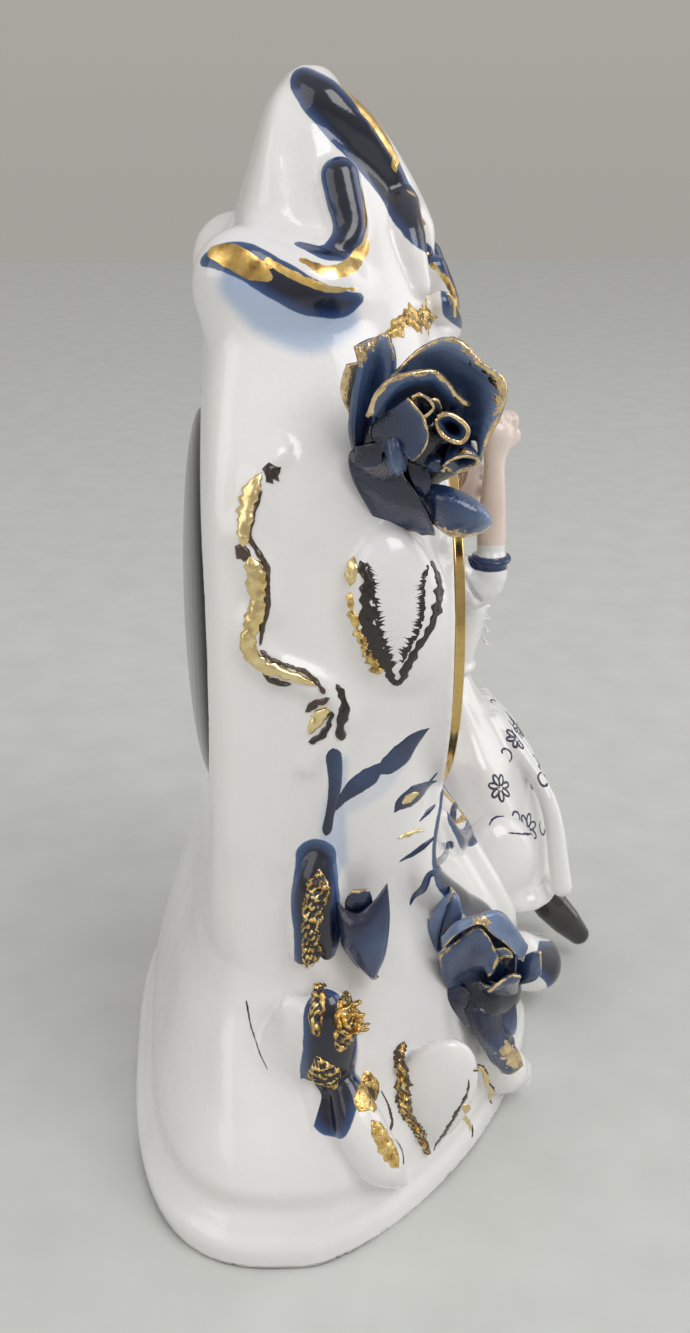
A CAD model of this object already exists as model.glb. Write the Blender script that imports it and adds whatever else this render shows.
from math import ceil, cos, floor, pi, radians, sin, sqrt

import bmesh
import bpy
import numpy as np
from mathutils import Matrix, Vector


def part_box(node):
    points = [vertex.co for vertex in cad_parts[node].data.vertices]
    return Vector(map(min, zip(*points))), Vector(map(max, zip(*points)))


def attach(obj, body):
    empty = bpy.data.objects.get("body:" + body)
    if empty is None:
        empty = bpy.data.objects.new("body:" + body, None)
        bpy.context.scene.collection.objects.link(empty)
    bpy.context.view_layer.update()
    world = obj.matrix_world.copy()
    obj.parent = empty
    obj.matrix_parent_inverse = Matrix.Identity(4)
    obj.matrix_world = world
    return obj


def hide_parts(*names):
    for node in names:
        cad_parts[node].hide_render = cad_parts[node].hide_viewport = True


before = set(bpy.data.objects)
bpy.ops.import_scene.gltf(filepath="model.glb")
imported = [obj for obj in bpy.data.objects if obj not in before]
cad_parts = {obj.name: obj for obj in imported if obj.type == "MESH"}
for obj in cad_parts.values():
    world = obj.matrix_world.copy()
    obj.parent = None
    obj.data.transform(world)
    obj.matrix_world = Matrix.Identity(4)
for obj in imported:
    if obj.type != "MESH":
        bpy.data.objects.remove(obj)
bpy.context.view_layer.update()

mm = 0.001
homeBody = "clock_body"

# the dial's axis and the case's reach, as the frame has them
bezelLow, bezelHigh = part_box("bezel")
dialX = (bezelLow[0] + bezelHigh[0]) / 2 / mm
dialZ = (bezelLow[2] + bezelHigh[2]) / 2 / mm
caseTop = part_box("case_shell")[1][2] / mm
coverSkirt = 8.0  # depth of the cover's skirt, whose end is the cover's foremost place
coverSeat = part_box("rear_cover")[0][1] / mm + coverSkirt
print("frame loaded:", len(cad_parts), "nodes, dial axis at", round(dialX, 2), round(dialZ, 2))


# meshes

def declare(piece, node=None, body=homeBody):
    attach(piece, body)
    if node:
        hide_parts(node)
    return piece


def newPiece(name, points, faces, material, slot, node=None, body=homeBody, smooth=True):
    mesh = bpy.data.meshes.new(name)
    mesh.from_pydata(np.asarray(points) * mm, [], faces)
    mesh.validate()
    mesh.polygons.foreach_set("use_smooth", [smooth] * len(mesh.polygons))
    mesh.materials.append(material)
    piece = bpy.data.objects.new(name, mesh)
    bpy.context.scene.collection.objects.link(piece)
    return declare(piece, node, body)


def placesOf(piece):
    points = np.empty(len(piece.data.vertices) * 3, dtype=np.float32)
    piece.data.vertices.foreach_get("co", points)
    return points.reshape(-1, 3).astype(np.float64) / mm


def setMask(piece, name, values):
    layer = piece.data.attributes.new(name, "FLOAT", "POINT")
    layer.data.foreach_set("value", np.ascontiguousarray(values, dtype=np.float32))


def applyModifiers(piece):
    bpy.context.view_layer.update()
    evaluated = piece.evaluated_get(bpy.context.evaluated_depsgraph_get())
    fresh = bpy.data.meshes.new_from_object(evaluated)
    old = piece.data
    piece.modifiers.clear()
    piece.data = fresh
    bpy.data.meshes.remove(old)
    fresh.name = piece.name


# fewer faces; where a group of points is named, most of them come from there
def thinned(piece, share, group="", weight=1.0):
    step = piece.modifiers.new("thin", "DECIMATE")
    step.ratio = share
    step.vertex_group = group
    step.vertex_group_factor = weight
    applyModifiers(piece)
    piece.vertex_groups.clear()
    piece.data.polygons.foreach_set("use_smooth", [True] * len(piece.data.polygons))


def outward(piece, merged=False):
    work = bmesh.new()
    work.from_mesh(piece.data)
    if merged:
        bmesh.ops.remove_doubles(work, verts=work.verts, dist=1e-6)
    bmesh.ops.recalc_face_normals(work, faces=work.faces)
    work.to_mesh(piece.data)
    work.free()


# several meshes of quads joined in one list
def joined(parts):
    points, faces, start = [], [], 0
    for p, f in parts:
        points.append(np.asarray(p))
        faces.append(np.asarray(f) + start)
        start += len(p)
    return np.concatenate(points), np.concatenate(faces)


# smooth path through a few places, with a width at each step
def smoothPath(path, radii, steps):
    path = np.asarray(path, dtype=np.float64)
    radii = np.interp(np.linspace(0, 1, len(path)), np.linspace(0, 1, len(radii)), radii)
    padded = np.vstack([2 * path[0] - path[1], path, 2 * path[-1] - path[-2]])
    spots = np.linspace(0, len(path) - 1, steps + 1)
    k = np.minimum(spots.astype(int), len(path) - 2)
    t = (spots - k)[:, None]
    a, b, c, d = padded[k], padded[k + 1], padded[k + 2], padded[k + 3]
    points = 0.5 * (2 * b + (c - a) * t + (2 * a - 5 * b + 4 * c - d) * t ** 2
                    + (3 * b - a - 3 * c + d) * t ** 3)
    return points, np.interp(spots, np.arange(len(path)), radii)


def runAlong(path):
    return np.concatenate([[0], np.cumsum(np.linalg.norm(np.diff(path, axis=0), axis=1))])


def pathAt(spots, steps, path):
    return np.stack([np.interp(spots, steps, path[:, k]) for k in range(3)], axis=1)


# even places along a smooth path through a few of them
def spread(places, count):
    if len(places) == 2:
        return np.linspace(places[0], places[1], count)
    path, _ = smoothPath(places, [1, 1], 8 * (len(places) - 1))
    steps = runAlong(path)
    return pathAt(np.linspace(0, steps[-1], count), steps, path)


# faces of a sheet with a front and a back grid of points, closed round its edge
def sheetFaces(rows, columns):
    at = np.arange(rows * columns).reshape(rows, columns)
    front = np.stack([at[:-1, :-1], at[1:, :-1], at[1:, 1:], at[:-1, 1:]], axis=-1).reshape(-1, 4)
    ring = np.concatenate([at[0, :], at[1:, -1], at[-1, -2::-1], at[-2:0:-1, 0]])
    after = np.roll(ring, -1)
    edge = np.stack([ring, after, after + at.size, ring + at.size], axis=-1)
    return np.concatenate([front, front[:, [0, 3, 2, 1]] + at.size, edge])


# ring of places round an upright line, lifted by a wave where one is given
def ringPath(centre, across, deep, steps, wave=0.0):
    x, y, z = centre
    return [(x + across * cos(a), y + deep * sin(a), z + wave * cos(a)) for a in np.linspace(0, 2 * pi,
                                                                                             steps)]


# clay: a distance field in millimetres that shapes are pressed on to and cut from

class Clay:
    def __init__(self, low, high, step):
        self.low = np.array(low, dtype=np.float64)
        self.step = step
        self.count = [ceil((b - a) / self.step) + 1 for a, b in zip(low, high)]
        self.everything = tuple(slice(0, n) for n in self.count)
        self.field = np.full(self.count, 40.0, dtype=np.float32)

    def window(self, low, high):
        cuts = []
        for a, b, start, count in zip(low, high, self.low, self.count):
            first = min(max(floor((a - start) / self.step), 0), count)
            last = min(max(ceil((b - start) / self.step) + 1, first), count)
            cuts.append(slice(first, last))
        return tuple(cuts)

    def places(self, window):
        shapes = [(-1, 1, 1), (1, -1, 1), (1, 1, -1)]
        spots = [self.low[k] + self.step * np.arange(window[k].start, window[k].stop) for k in range(3)]
        return [spots[k].reshape(shapes[k]).astype(np.float32) for k in range(3)]

    def whole(self):
        return self.places(self.everything)

    def press(self, window, distance, softness, carved=False):
        old = -self.field[window] if carved else self.field[window]
        blend = np.minimum(old, distance)
        if softness > 0:
            near = np.maximum(softness - np.abs(old - distance), 0) / softness
            blend = blend - near * near * softness * 0.25
        self.field[window] = -blend if carved else blend

    # ellipsoid, turned about X, then Y, then Z
    def ball(self, centre, radii, softness=2.0, turn=(0, 0, 0), carved=False):
        reach = max(radii) + softness + 2 * self.step
        window = self.window([c - reach for c in centre], [c + reach for c in centre])
        x, y, z = self.places(window)
        about = [Matrix.Rotation(radians(turn[k]), 3, "XYZ"[k]) for k in range(3)]
        spin = about[2] @ about[1] @ about[0]
        offset = (x - centre[0], y - centre[1], z - centre[2])
        local = [sum(offset[j] * spin[j][i] for j in range(3)) for i in range(3)]
        far = np.sqrt(sum((p / r) ** 2 for p, r in zip(local, radii))) + 1e-6
        steep = np.sqrt(sum((p / (r * r)) ** 2 for p, r in zip(local, radii))) + 1e-6
        self.press(window, far * (far - 1) / steep, softness, carved)

    # rounded strand along a smooth path; squeeze thins it along one direction
    def strand(self, path, radii, softness=2.0, squeeze=None, carved=False, steps=0):
        points, widths = smoothPath(path, radii, steps or 7 * (len(path) - 1))
        along, share = (np.array(squeeze[0], float), squeeze[1]) if squeeze else (np.zeros(3), 1.0)
        if squeeze:
            along /= np.linalg.norm(along)
        thick = max(widths) + softness + 2 * self.step
        window = self.window(points.min(axis=0) - thick, points.max(axis=0) + thick)
        shape = [w.stop - w.start for w in window]
        distance = np.full(shape, 40.0, dtype=np.float32)
        origin = [w.start for w in window]
        for a, b, ra, rb in zip(points[:-1], points[1:], widths[:-1], widths[1:]):
            part = self.window(np.minimum(a, b) - thick, np.maximum(a, b) + thick)
            px, py, pz = self.places(part)
            run = b - a
            offset = [px - a[0], py - a[1], pz - a[2]]
            t = np.clip(sum(o * r for o, r in zip(offset, run)) / (float(run @ run) + 1e-9), 0, 1)
            away = [o - t * r for o, r in zip(offset, run)]
            if squeeze:
                deep = sum(w * s for w, s in zip(away, along))
                away = [w + deep * s * (1 / share - 1) for w, s in zip(away, along)]
            gap = np.sqrt(sum(w * w for w in away)) - (ra + (rb - ra) * t)
            local = tuple(slice(p.start - o, p.stop - o) for p, o in zip(part, origin))
            distance[local] = np.minimum(distance[local], gap)
        self.press(window, distance, softness, carved)

    # round bar or bore about the dial's axis
    def drum(self, radius, front, back, softness=0.0, carved=False):
        x, y, z = self.whole()
        across = np.sqrt((x - dialX) ** 2 + (z - dialZ) ** 2) - radius
        self.press(self.everything, np.maximum(across, np.maximum(front - y, y - back)), softness, carved)

    def sample(self, points):
        place = (points - self.low) / self.step
        cell = np.clip(np.floor(place).astype(np.int64), 0, np.array(self.count) - 2)
        share = np.clip(place - cell, 0, 1)
        value = np.zeros(len(points))
        for corner in range(8):
            bits = np.array([corner & 1, corner >> 1 & 1, corner >> 2 & 1])
            weight = np.prod(np.where(bits, share, 1 - share), axis=1)
            at = cell + bits
            value += weight * self.field[at[:, 0], at[:, 1], at[:, 2]]
        return value

    def slope(self, points):
        rises = []
        for k in range(3):
            offset = np.zeros(3)
            offset[k] = self.step * 0.7
            rises.append(self.sample(points + offset) - self.sample(points - offset))
        rises = np.stack(rises, axis=1)
        return rises / (np.linalg.norm(rises, axis=1, keepdims=True) + 1e-9)

    def settled(self, points, rounds=3):
        for _ in range(rounds):
            gap = np.clip(self.sample(points), -2, 2)
            points = points - self.slope(points) * gap[:, None]
        return points

    # one point in each cell that the surface crosses, and a quad round each crossed edge
    def skin(self, settle=2):
        f = self.field
        inside = f < 0
        total = np.zeros([n - 1 for n in self.count], dtype=np.int8)
        for corner in range(8):
            i, j, k = corner & 1, corner >> 1 & 1, corner >> 2 & 1
            total += inside[i:self.count[0] - 1 + i, j:self.count[1] - 1 + j, k:self.count[2] - 1 + k]
        cells = np.argwhere((total > 0) & (total < 8))
        index = np.full(total.shape, -1, dtype=np.int64)
        index[tuple(cells.T)] = np.arange(len(cells))
        places = np.zeros((len(cells), 3))
        hits = np.zeros(len(cells))
        for axis in range(3):
            others = [a for a in range(3) if a != axis]
            for first, second in ((0, 0), (0, 1), (1, 0), (1, 1)):
                start = np.zeros(3, dtype=np.int64)
                start[others[0]], start[others[1]] = first, second
                end = start.copy()
                end[axis] = 1
                a = f[tuple((cells + start).T)]
                b = f[tuple((cells + end).T)]
                crossed = (a < 0) != (b < 0)
                spot = (cells + start).astype(np.float64)
                spot[:, axis] += np.where(crossed, a / np.where(crossed, a - b, 1), 0)
                places[crossed] += spot[crossed]
                hits[crossed] += 1
        places = self.low + self.step * places / hits[:, None]
        quads = []
        for axis in range(3):
            u, v = [(1, 2), (2, 0), (0, 1)][axis]
            ahead = np.take(inside, range(1, self.count[axis]), axis=axis)
            behind = np.take(inside, range(0, self.count[axis] - 1), axis=axis)
            edges = np.argwhere(ahead != behind)
            keep = (edges[:, u] > 0) & (edges[:, v] > 0)
            keep &= (edges[:, u] < self.count[u] - 1) & (edges[:, v] < self.count[v] - 1)
            edges = edges[keep]
            leaving = behind[tuple(edges.T)]
            ring = []
            for du, dv in ((0, 0), (-1, 0), (-1, -1), (0, -1)):
                cell = edges.copy()
                cell[:, u] += du
                cell[:, v] += dv
                ring.append(index[tuple(cell.T)])
            ring = np.stack(ring, axis=1)
            ring[~leaving] = ring[~leaving][:, ::-1]
            quads.append(ring)
        quads = np.concatenate(quads)
        for _ in range(settle):
            ends = np.concatenate([quads[:, [0, 1]], quads[:, [1, 2]], quads[:, [2, 3]], quads[:, [3, 0]]])
            ends = np.concatenate([ends, ends[:, ::-1]])
            count = np.bincount(ends[:, 0], minlength=len(places))
            middle = [np.bincount(ends[:, 0], places[ends[:, 1], k], len(places)) for k in range(3)]
            middle = np.stack(middle, axis=1)
            places = places * 0.4 + 0.6 * middle / np.maximum(count, 1)[:, None]
            places = self.settled(places, 2)
        return places, quads


# painted strokes: how far inside a stroke each point lies, in millimetres, negative outside

def inStroke(points, path, radii):
    path, widths = smoothPath(path, radii, 8 * (len(path) - 1))
    best = np.full(len(points), -99.0)
    for a, b, ra, rb in zip(path[:-1], path[1:], widths[:-1], widths[1:]):
        run = b - a
        t = np.clip((points - a) @ run / (run @ run + 1e-9), 0, 1)
        gap = ra + (rb - ra) * t - np.linalg.norm(points - a - t[:, None] * run, axis=1)
        best = np.maximum(best, gap)
    return best


# shader nodes

def addNode(tree, kind, links=None, **settings):
    node = tree.nodes.new(kind)
    for key, value in settings.items():
        setattr(node, key, value)
    for socket, value in (links or {}).items():
        if isinstance(value, bpy.types.NodeSocket):
            tree.links.new(value, node.inputs[socket])
        else:
            node.inputs[socket].default_value = value
    return node


def mathNode(tree, kind, *values):
    return addNode(tree, "ShaderNodeMath", dict(enumerate(values)), operation=kind).outputs[0]


def mixColour(tree, share, *tones):
    a, b = (tone if isinstance(tone, bpy.types.NodeSocket) else (*tone, 1) for tone in tones)
    return addNode(tree, "ShaderNodeMix", {0: share, 6: a, 7: b}, data_type="RGBA").outputs[2]


def ramp(tree, value, places, tones):
    node = addNode(tree, "ShaderNodeValToRGB", {0: value})
    elements = node.color_ramp.elements
    while len(elements) < len(places):
        elements.new(0.5)
    for element, place, tone in zip(elements, places, tones):
        element.position = place
        element.color = (*tone, 1)
    return node.outputs[0]


def mapped(tree, value, low, high, toLow=0.0, toHigh=1.0):
    links = dict(enumerate((value, low, high, toLow, toHigh)))
    return addNode(tree, "ShaderNodeMapRange", links, interpolation_type="SMOOTHSTEP").outputs[0]


def noiseNode(tree, size, detail=2.0):
    place = addNode(tree, "ShaderNodeTexCoord").outputs["Object"]
    return addNode(tree, "ShaderNodeTexNoise", {"Vector": place, "Scale": size, "Detail": detail}).outputs[0]


def group(name, inputs, outputs):
    tree = bpy.data.node_groups.new(name, "ShaderNodeTree")
    for label, value in inputs.items():
        socket = tree.interface.new_socket(label, in_out="INPUT", socket_type="NodeSocketFloat")
        socket.default_value = value
    for label, kind in outputs.items():
        tree.interface.new_socket(label, in_out="OUTPUT", socket_type="NodeSocket" + kind)
    return tree, tree.nodes.new("NodeGroupInput").outputs, tree.nodes.new("NodeGroupOutput").inputs


# uneven glaze: a slow swell with a faint pitting, as a height, and a mottle for its tones
def makeGlazeSurface():
    tree, given, out = group("glazeSurface", {"Swell Size": 60.0, "Pit Size": 900.0, "Pit Depth": 0.25},
                             {"Height": "Float", "Mottle": "Float"})
    pits = noiseNode(tree, given["Pit Size"], 1.0)
    swell = noiseNode(tree, given["Swell Size"])
    tree.links.new(mathNode(tree, "MULTIPLY_ADD", pits, given["Pit Depth"], swell), out["Height"])
    tree.links.new(noiseNode(tree, 28.0, 5.0), out["Mottle"])
    return tree


# stroke mask from a distance in millimetres, with a hand-painted edge
def makeBrushEdge():
    tree, given, out = group(
        "brushEdge", {"Distance": 0.0, "Waver": 0.5, "Waver Size": 400.0, "Softness": 0.2}, {"Mask": "Float"})
    shift = mathNode(tree, "SUBTRACT", noiseNode(tree, given["Waver Size"], 3.0), 0.5)
    shift = mathNode(tree, "MULTIPLY", shift, given["Waver"])
    edge = mathNode(tree, "MULTIPLY_ADD", shift, 2.0, given["Distance"])
    less = mathNode(tree, "MULTIPLY", given["Softness"], -1.0)
    tree.links.new(mapped(tree, edge, less, given["Softness"]), out["Mask"])
    return tree


# bright gold with thin worn places and darker brush marks
def makeGoldLeaf():
    tree, given, out = group("goldLeaf", {"Brush Size": 220.0}, {"Color": "Color", "Roughness": "Float"})
    streak = noiseNode(tree, given["Brush Size"], 4.0)
    tree.links.new(ramp(tree, streak, (0.3, 0.44, 0.56, 0.7), (
        (0.16, 0.09, 0.03), (0.62, 0.38, 0.10), (0.86, 0.60, 0.20), (0.95, 0.76, 0.38))), out["Color"])
    tree.links.new(mapped(tree, streak, 0.3, 0.7, 0.38, 0.16), out["Roughness"])
    return tree


glazeSurface = makeGlazeSurface()
brushEdge = makeBrushEdge()
goldLeaf = makeGoldLeaf()


def groupOf(tree, which, **values):
    links = {key.replace("_", " "): value for key, value in values.items()}
    return addNode(tree, "ShaderNodeGroup", links, node_tree=which).outputs


def surfaceOf(tree, swell, pits, depth):
    return groupOf(tree, glazeSurface, Swell_Size=swell, Pit_Size=pits, Pit_Depth=depth)


def attribute(tree, name):
    return addNode(tree, "ShaderNodeAttribute", attribute_name=name).outputs["Fac"]


# share of the surface that a stroke covers, from the name of its mask or from a distance
def covered(tree, mask, waver, size, softness):
    distance = attribute(tree, mask) if isinstance(mask, str) else mask
    return groupOf(tree, brushEdge, Distance=distance, Waver=waver, Waver_Size=size, Softness=softness)[0]


def newMaterial(name, **plain):
    material = bpy.data.materials.new(name)
    material.use_nodes = True
    shader = material.node_tree.nodes["Principled BSDF"]
    for key, value in plain.items():
        shader.inputs[key.replace("_", " ")].default_value = value
    return material, material.node_tree, shader


def dress(tree, shader, colour, roughness, height, strength, depth, metal=None):
    bump = addNode(tree, "ShaderNodeBump", {"Height": height, "Strength": strength, "Distance": depth})
    fed = {"Base Color": colour, "Roughness": roughness, "Metallic": metal, "Normal": bump.outputs[0]}
    for label, value in fed.items():
        if value is not None:
            tree.links.new(value, shader.inputs[label])


# white glazed body with its painting, read from the masks that the piece carries
def makePorcelain(name="porcelain_glaze", painted=True):
    material, tree, shader = newMaterial(name, Coat_Weight=0.6, Coat_Roughness=0.04, Specular_IOR_Level=0.5)
    height, mottle = surfaceOf(tree, 45.0, 700.0, 0.12)
    base = ramp(tree, mottle, (0.3, 0.5, 0.7), ((0.80, 0.79, 0.80), (0.86, 0.845, 0.84), (0.885, 0.87, 0.86)))
    roughness, gold = mapped(tree, mottle, 0.3, 0.7, 0.16, 0.24), None
    if painted:
        washTone = mixColour(tree, mottle, (0.34, 0.45, 0.66), (0.52, 0.62, 0.78))
        base = mixColour(tree, mapped(tree, attribute(tree, "wash"), 0.0, 1.0), base, washTone)
        blue = attribute(tree, "blue")
        pooled = mathNode(tree, "MULTIPLY_ADD", mottle, 0.5, mapped(tree, blue, 0.0, 5.0))
        cobalt = ramp(tree, pooled, (0.1, 0.35, 0.75, 1.0), (
            (0.055, 0.12, 0.27), (0.022, 0.055, 0.16), (0.008, 0.015, 0.05), (0.005, 0.007, 0.022)))
        base = mixColour(tree, covered(tree, blue, 0.35, 220.0, 0.22), base, cobalt)
        base = mixColour(tree, covered(tree, "dark", 0.9, 900.0, 0.12), base, (0.03, 0.018, 0.012))
        gold = covered(tree, "gold", 0.35, 500.0, 0.1)
        leafTone, leafRoughness = groupOf(tree, goldLeaf, Brush_Size=160.0)
        base = mixColour(tree, gold, base, leafTone)
        change = mathNode(tree, "SUBTRACT", leafRoughness, roughness)
        roughness = mathNode(tree, "MULTIPLY_ADD", gold, change, roughness)
    dress(tree, shader, base, roughness, height, 0.25, 0.002, gold)
    return material


# glaze in three tones with painted marks on it, each as [mask, tone, waver, waver size, softness]
def makeGlaze(name, tones, roughness=(0.12, 0.216), coat=(0.6, 0.05), surface=(45.0, 900.0, 0.15), marks=(),
              bump=(0.3, 0.0015)):
    material, tree, shader = newMaterial(name, Coat_Weight=coat[0], Coat_Roughness=coat[1])
    height, mottle = surfaceOf(tree, *surface)
    colour = ramp(tree, mottle, (0.32, 0.5, 0.68), tones)
    for mask, tone, *brush in marks:
        colour = mixColour(tree, covered(tree, mask, *brush), colour, tone)
    dress(tree, shader, colour, mapped(tree, mottle, 0.3, 0.7, *roughness), height, *bump)
    return material


# petals: cobalt that pools dark at the root, thin broken gilt along the rim and crusts of worn gold
def makePetalGlaze():
    material, tree, shader = newMaterial("cobalt_petal", Coat_Weight=0.7, Coat_Roughness=0.06)
    height, mottle = surfaceOf(tree, 160.0, 1400.0, 0.5)
    tone = mathNode(tree, "MULTIPLY_ADD", attribute(tree, "along"), 0.42,
                    mathNode(tree, "MULTIPLY", mottle, 0.9))
    tone = mathNode(tree, "ADD", tone, attribute(tree, "tone"))
    colour = ramp(tree, tone, (0.3, 0.52, 0.7, 0.88, 1.0), (
        (0.003, 0.005, 0.015), (0.007, 0.014, 0.047), (0.018, 0.041, 0.118), (0.06, 0.105, 0.22),
        (0.17, 0.24, 0.40)))
    rim = mathNode(tree, "SUBTRACT", attribute(tree, "gilt"), attribute(tree, "rim"))
    gold = mathNode(tree, "MAXIMUM", covered(tree, rim, 1.1, 330.0, 0.12),
                    covered(tree, "crust", 3.2, 700.0, 0.2))
    pale = mixColour(tree, 0.3, groupOf(tree, goldLeaf, Brush_Size=420.0)[0], (0.82, 0.76, 0.66))
    roughness = mapped(tree, mottle, 0.3, 0.7, 0.12, 0.26)
    dress(tree, shader, mixColour(tree, gold, colour, pale), roughness, height, 0.35, 0.0012, gold)
    return material


# rocaille: raised lumps, gold on the crests and cobalt or umber in the hollows
def makeRocailleGlaze(name, hollow, crest):
    material, tree, shader = newMaterial(name, Coat_Weight=0.5, Coat_Roughness=0.08)
    lumps = noiseNode(tree, 520.0, 4.0)
    point = addNode(tree, "ShaderNodeNewGeometry").outputs["Pointiness"]
    raised = mathNode(tree, "MULTIPLY_ADD", mathNode(tree, "SUBTRACT", point, 0.5), 6.0,
                      mathNode(tree, "ADD", lumps, crest))
    gold = mapped(tree, raised, 0.46, 0.56)
    colour = mixColour(tree, gold, hollow, groupOf(tree, goldLeaf, Brush_Size=380.0)[0])
    dress(tree, shader, colour, mapped(tree, lumps, 0.3, 0.7, 0.32, 0.14), lumps, 0.6, 0.0012, gold)
    return material


# metal, card or moulded plastic with a fine surface of its own, turned about the dial's axis where asked
def makeFine(name, tones, roughness, metal=0.0, grain=900.0, coat=0.0, turnedMarks=0.0):
    material, tree, shader = newMaterial(name, Metallic=metal, Coat_Weight=coat, Coat_Roughness=0.08)
    height = noiseNode(tree, grain, 4.0)
    broad = mathNode(tree, "MULTIPLY", noiseNode(tree, grain / 12, 3.0), 0.5)
    tone = mathNode(tree, "MULTIPLY_ADD", height, 0.5, broad)
    if turnedMarks:
        place = addNode(tree, "ShaderNodeTexCoord").outputs["Object"]
        centre = (-dialX * mm, 0, -dialZ * mm)
        centred = addNode(tree, "ShaderNodeMapping", {"Vector": place, "Location": centre})
        x, _, z = addNode(tree, "ShaderNodeSeparateXYZ", {0: centred.outputs[0]}).outputs
        far = mathNode(tree, "ADD", mathNode(tree, "POWER", x, 2.0), mathNode(tree, "POWER", z, 2.0))
        rings = addNode(tree, "ShaderNodeTexNoise", {"W": mathNode(tree, "SQRT", far), "Scale": turnedMarks},
                        noise_dimensions="1D").outputs[0]
        tone = mathNode(tree, "MULTIPLY_ADD", rings, 0.5, mathNode(tree, "MULTIPLY", tone, 0.5))
        height = mathNode(tree, "MULTIPLY_ADD", rings, 0.6, mathNode(tree, "MULTIPLY", height, 0.4))
    shine = mapped(tree, tone, 0.3, 0.7, roughness * 0.8, roughness * 1.25)
    dress(tree, shader, ramp(tree, tone, (0.35, 0.65), tones), shine, height, 0.4, 0.0002)
    return material


def makeWindowGlass():
    material, tree, shader = newMaterial("window_glass", Roughness=0.02, IOR=1.5, Transmission_Weight=1.0)
    tint = ramp(tree, noiseNode(tree, 30.0), (0.3, 0.7), ((0.93, 0.96, 0.95), (0.98, 0.99, 0.99)))
    tree.links.new(tint, shader.inputs["Base Color"])
    return material


porcelain = makePorcelain()
plainPorcelain = makePorcelain("porcelain_plain", painted=False)
petalGlaze = makePetalGlaze()
fleshPaint = makeGlaze(
    "painted_face", ((0.72, 0.56, 0.49), (0.79, 0.65, 0.58), (0.83, 0.72, 0.66)), (0.18, 0.3), (0.35, 0.06),
    (120.0, 1200.0, 0.15), (("rouge", (0.55, 0.14, 0.12), 0.1, 900.0, 0.14),
                            ("eyewhite", (0.82, 0.82, 0.80), 0.02, 900.0, 0.14),
                            ("ink", (0.05, 0.028, 0.02), 0.05, 900.0, 0.14)), (0.2, 0.001))
armPaint = makeGlaze(
    "painted_arm", ((0.72, 0.57, 0.50), (0.79, 0.65, 0.58), (0.83, 0.71, 0.65)), (0.14, 0.26), (0.5, 0.06),
    (90.0, 1000.0, 0.15), (("cloth", (0.85, 0.85, 0.86), 0.1, 400.0, 0.15),
                           ("cuff", (0.012, 0.03, 0.12), 0.3, 400.0, 0.2)), (0.2, 0.001))
hairGlaze = makeGlaze("hair_glaze", ((0.10, 0.045, 0.018), (0.20, 0.09, 0.035), (0.28, 0.14, 0.06)),
                      (0.2, 0.36), (0.5, 0.05), (300.0, 900.0, 0.15))
blackGlaze = makeGlaze("black_glaze", ((0.008, 0.006, 0.006), (0.016, 0.012, 0.011), (0.035, 0.024, 0.02)),
                       (0.1, 0.18), (0.8, 0.05))
cobaltGlaze = makeGlaze("cobalt_glaze", ((0.005, 0.010, 0.035), (0.012, 0.030, 0.095), (0.035, 0.085, 0.20)),
                        coat=(0.7, 0.05), surface=(130.0, 900.0, 0.15))
umberGlaze = makeGlaze("umber_glaze", ((0.006, 0.004, 0.003), (0.018, 0.010, 0.007), (0.09, 0.05, 0.03)),
                       (0.16, 0.288), (0.5, 0.05), (400.0, 900.0, 0.15))
inkGlaze = makeGlaze("ink_glaze", ((0.006, 0.01, 0.03), (0.014, 0.024, 0.07), (0.03, 0.05, 0.12)),
                     (0.14, 0.252), surface=(300.0, 900.0, 0.15))
rocaille = makeRocailleGlaze("rocaille_cobalt", (0.014, 0.013, 0.02), -0.09)
antiqueGold = makeRocailleGlaze("antique_gold", (0.07, 0.045, 0.02), 0.08)
brightGold = makeFine("bright_gold", ((0.74, 0.54, 0.22), (1.0, 0.87, 0.52)), 0.26, 1.0, 420.0)
gilt = makeFine("gilt_metal", ((0.55, 0.36, 0.12), (0.86, 0.64, 0.28)), 0.16, 1.0, 500.0, 0.0, 900.0)
windowGlass = makeWindowGlass()
dialCard = makeFine("dial_card", ((0.90, 0.88, 0.81), (0.95, 0.935, 0.89)), 0.55, 0.0, 1500.0)
dialInk = makeFine("dial_ink", ((0.012, 0.014, 0.03), (0.03, 0.035, 0.06)), 0.4, 0.0, 2500.0)
coverPlastic = makeFine("cover_plastic", ((0.006, 0.006, 0.007), (0.014, 0.014, 0.016)), 0.18, 0.0, 700.0,
                        0.3, 350.0)
blackPlastic = makeFine("black_plastic", ((0.012, 0.012, 0.013), (0.03, 0.03, 0.032)), 0.42, 0.0, 2400.0)
whitePlastic = makeFine("white_plastic", ((0.66, 0.64, 0.58), (0.78, 0.76, 0.70)), 0.4, 0.0, 1600.0)
sealRubber = makeFine("seal_rubber", ((0.015, 0.015, 0.016), (0.04, 0.04, 0.042)), 0.7, 0.0, 1800.0)
brassMetal = makeFine("turned_brass", ((0.48, 0.32, 0.10), (0.78, 0.58, 0.25)), 0.26, 1.0, 1200.0, 0.0,
                      2500.0)
steelMetal = makeFine("plain_steel", ((0.36, 0.37, 0.39), (0.62, 0.63, 0.65)), 0.3, 1.0, 1400.0)
copperWire = makeFine("copper_wire", ((0.42, 0.17, 0.07), (0.72, 0.33, 0.16)), 0.28, 1.0, 1800.0, 0.4)
boardGreen = makeFine("board_green", ((0.02, 0.10, 0.045), (0.05, 0.18, 0.09)), 0.35, 0.0, 900.0, 0.3)


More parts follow.
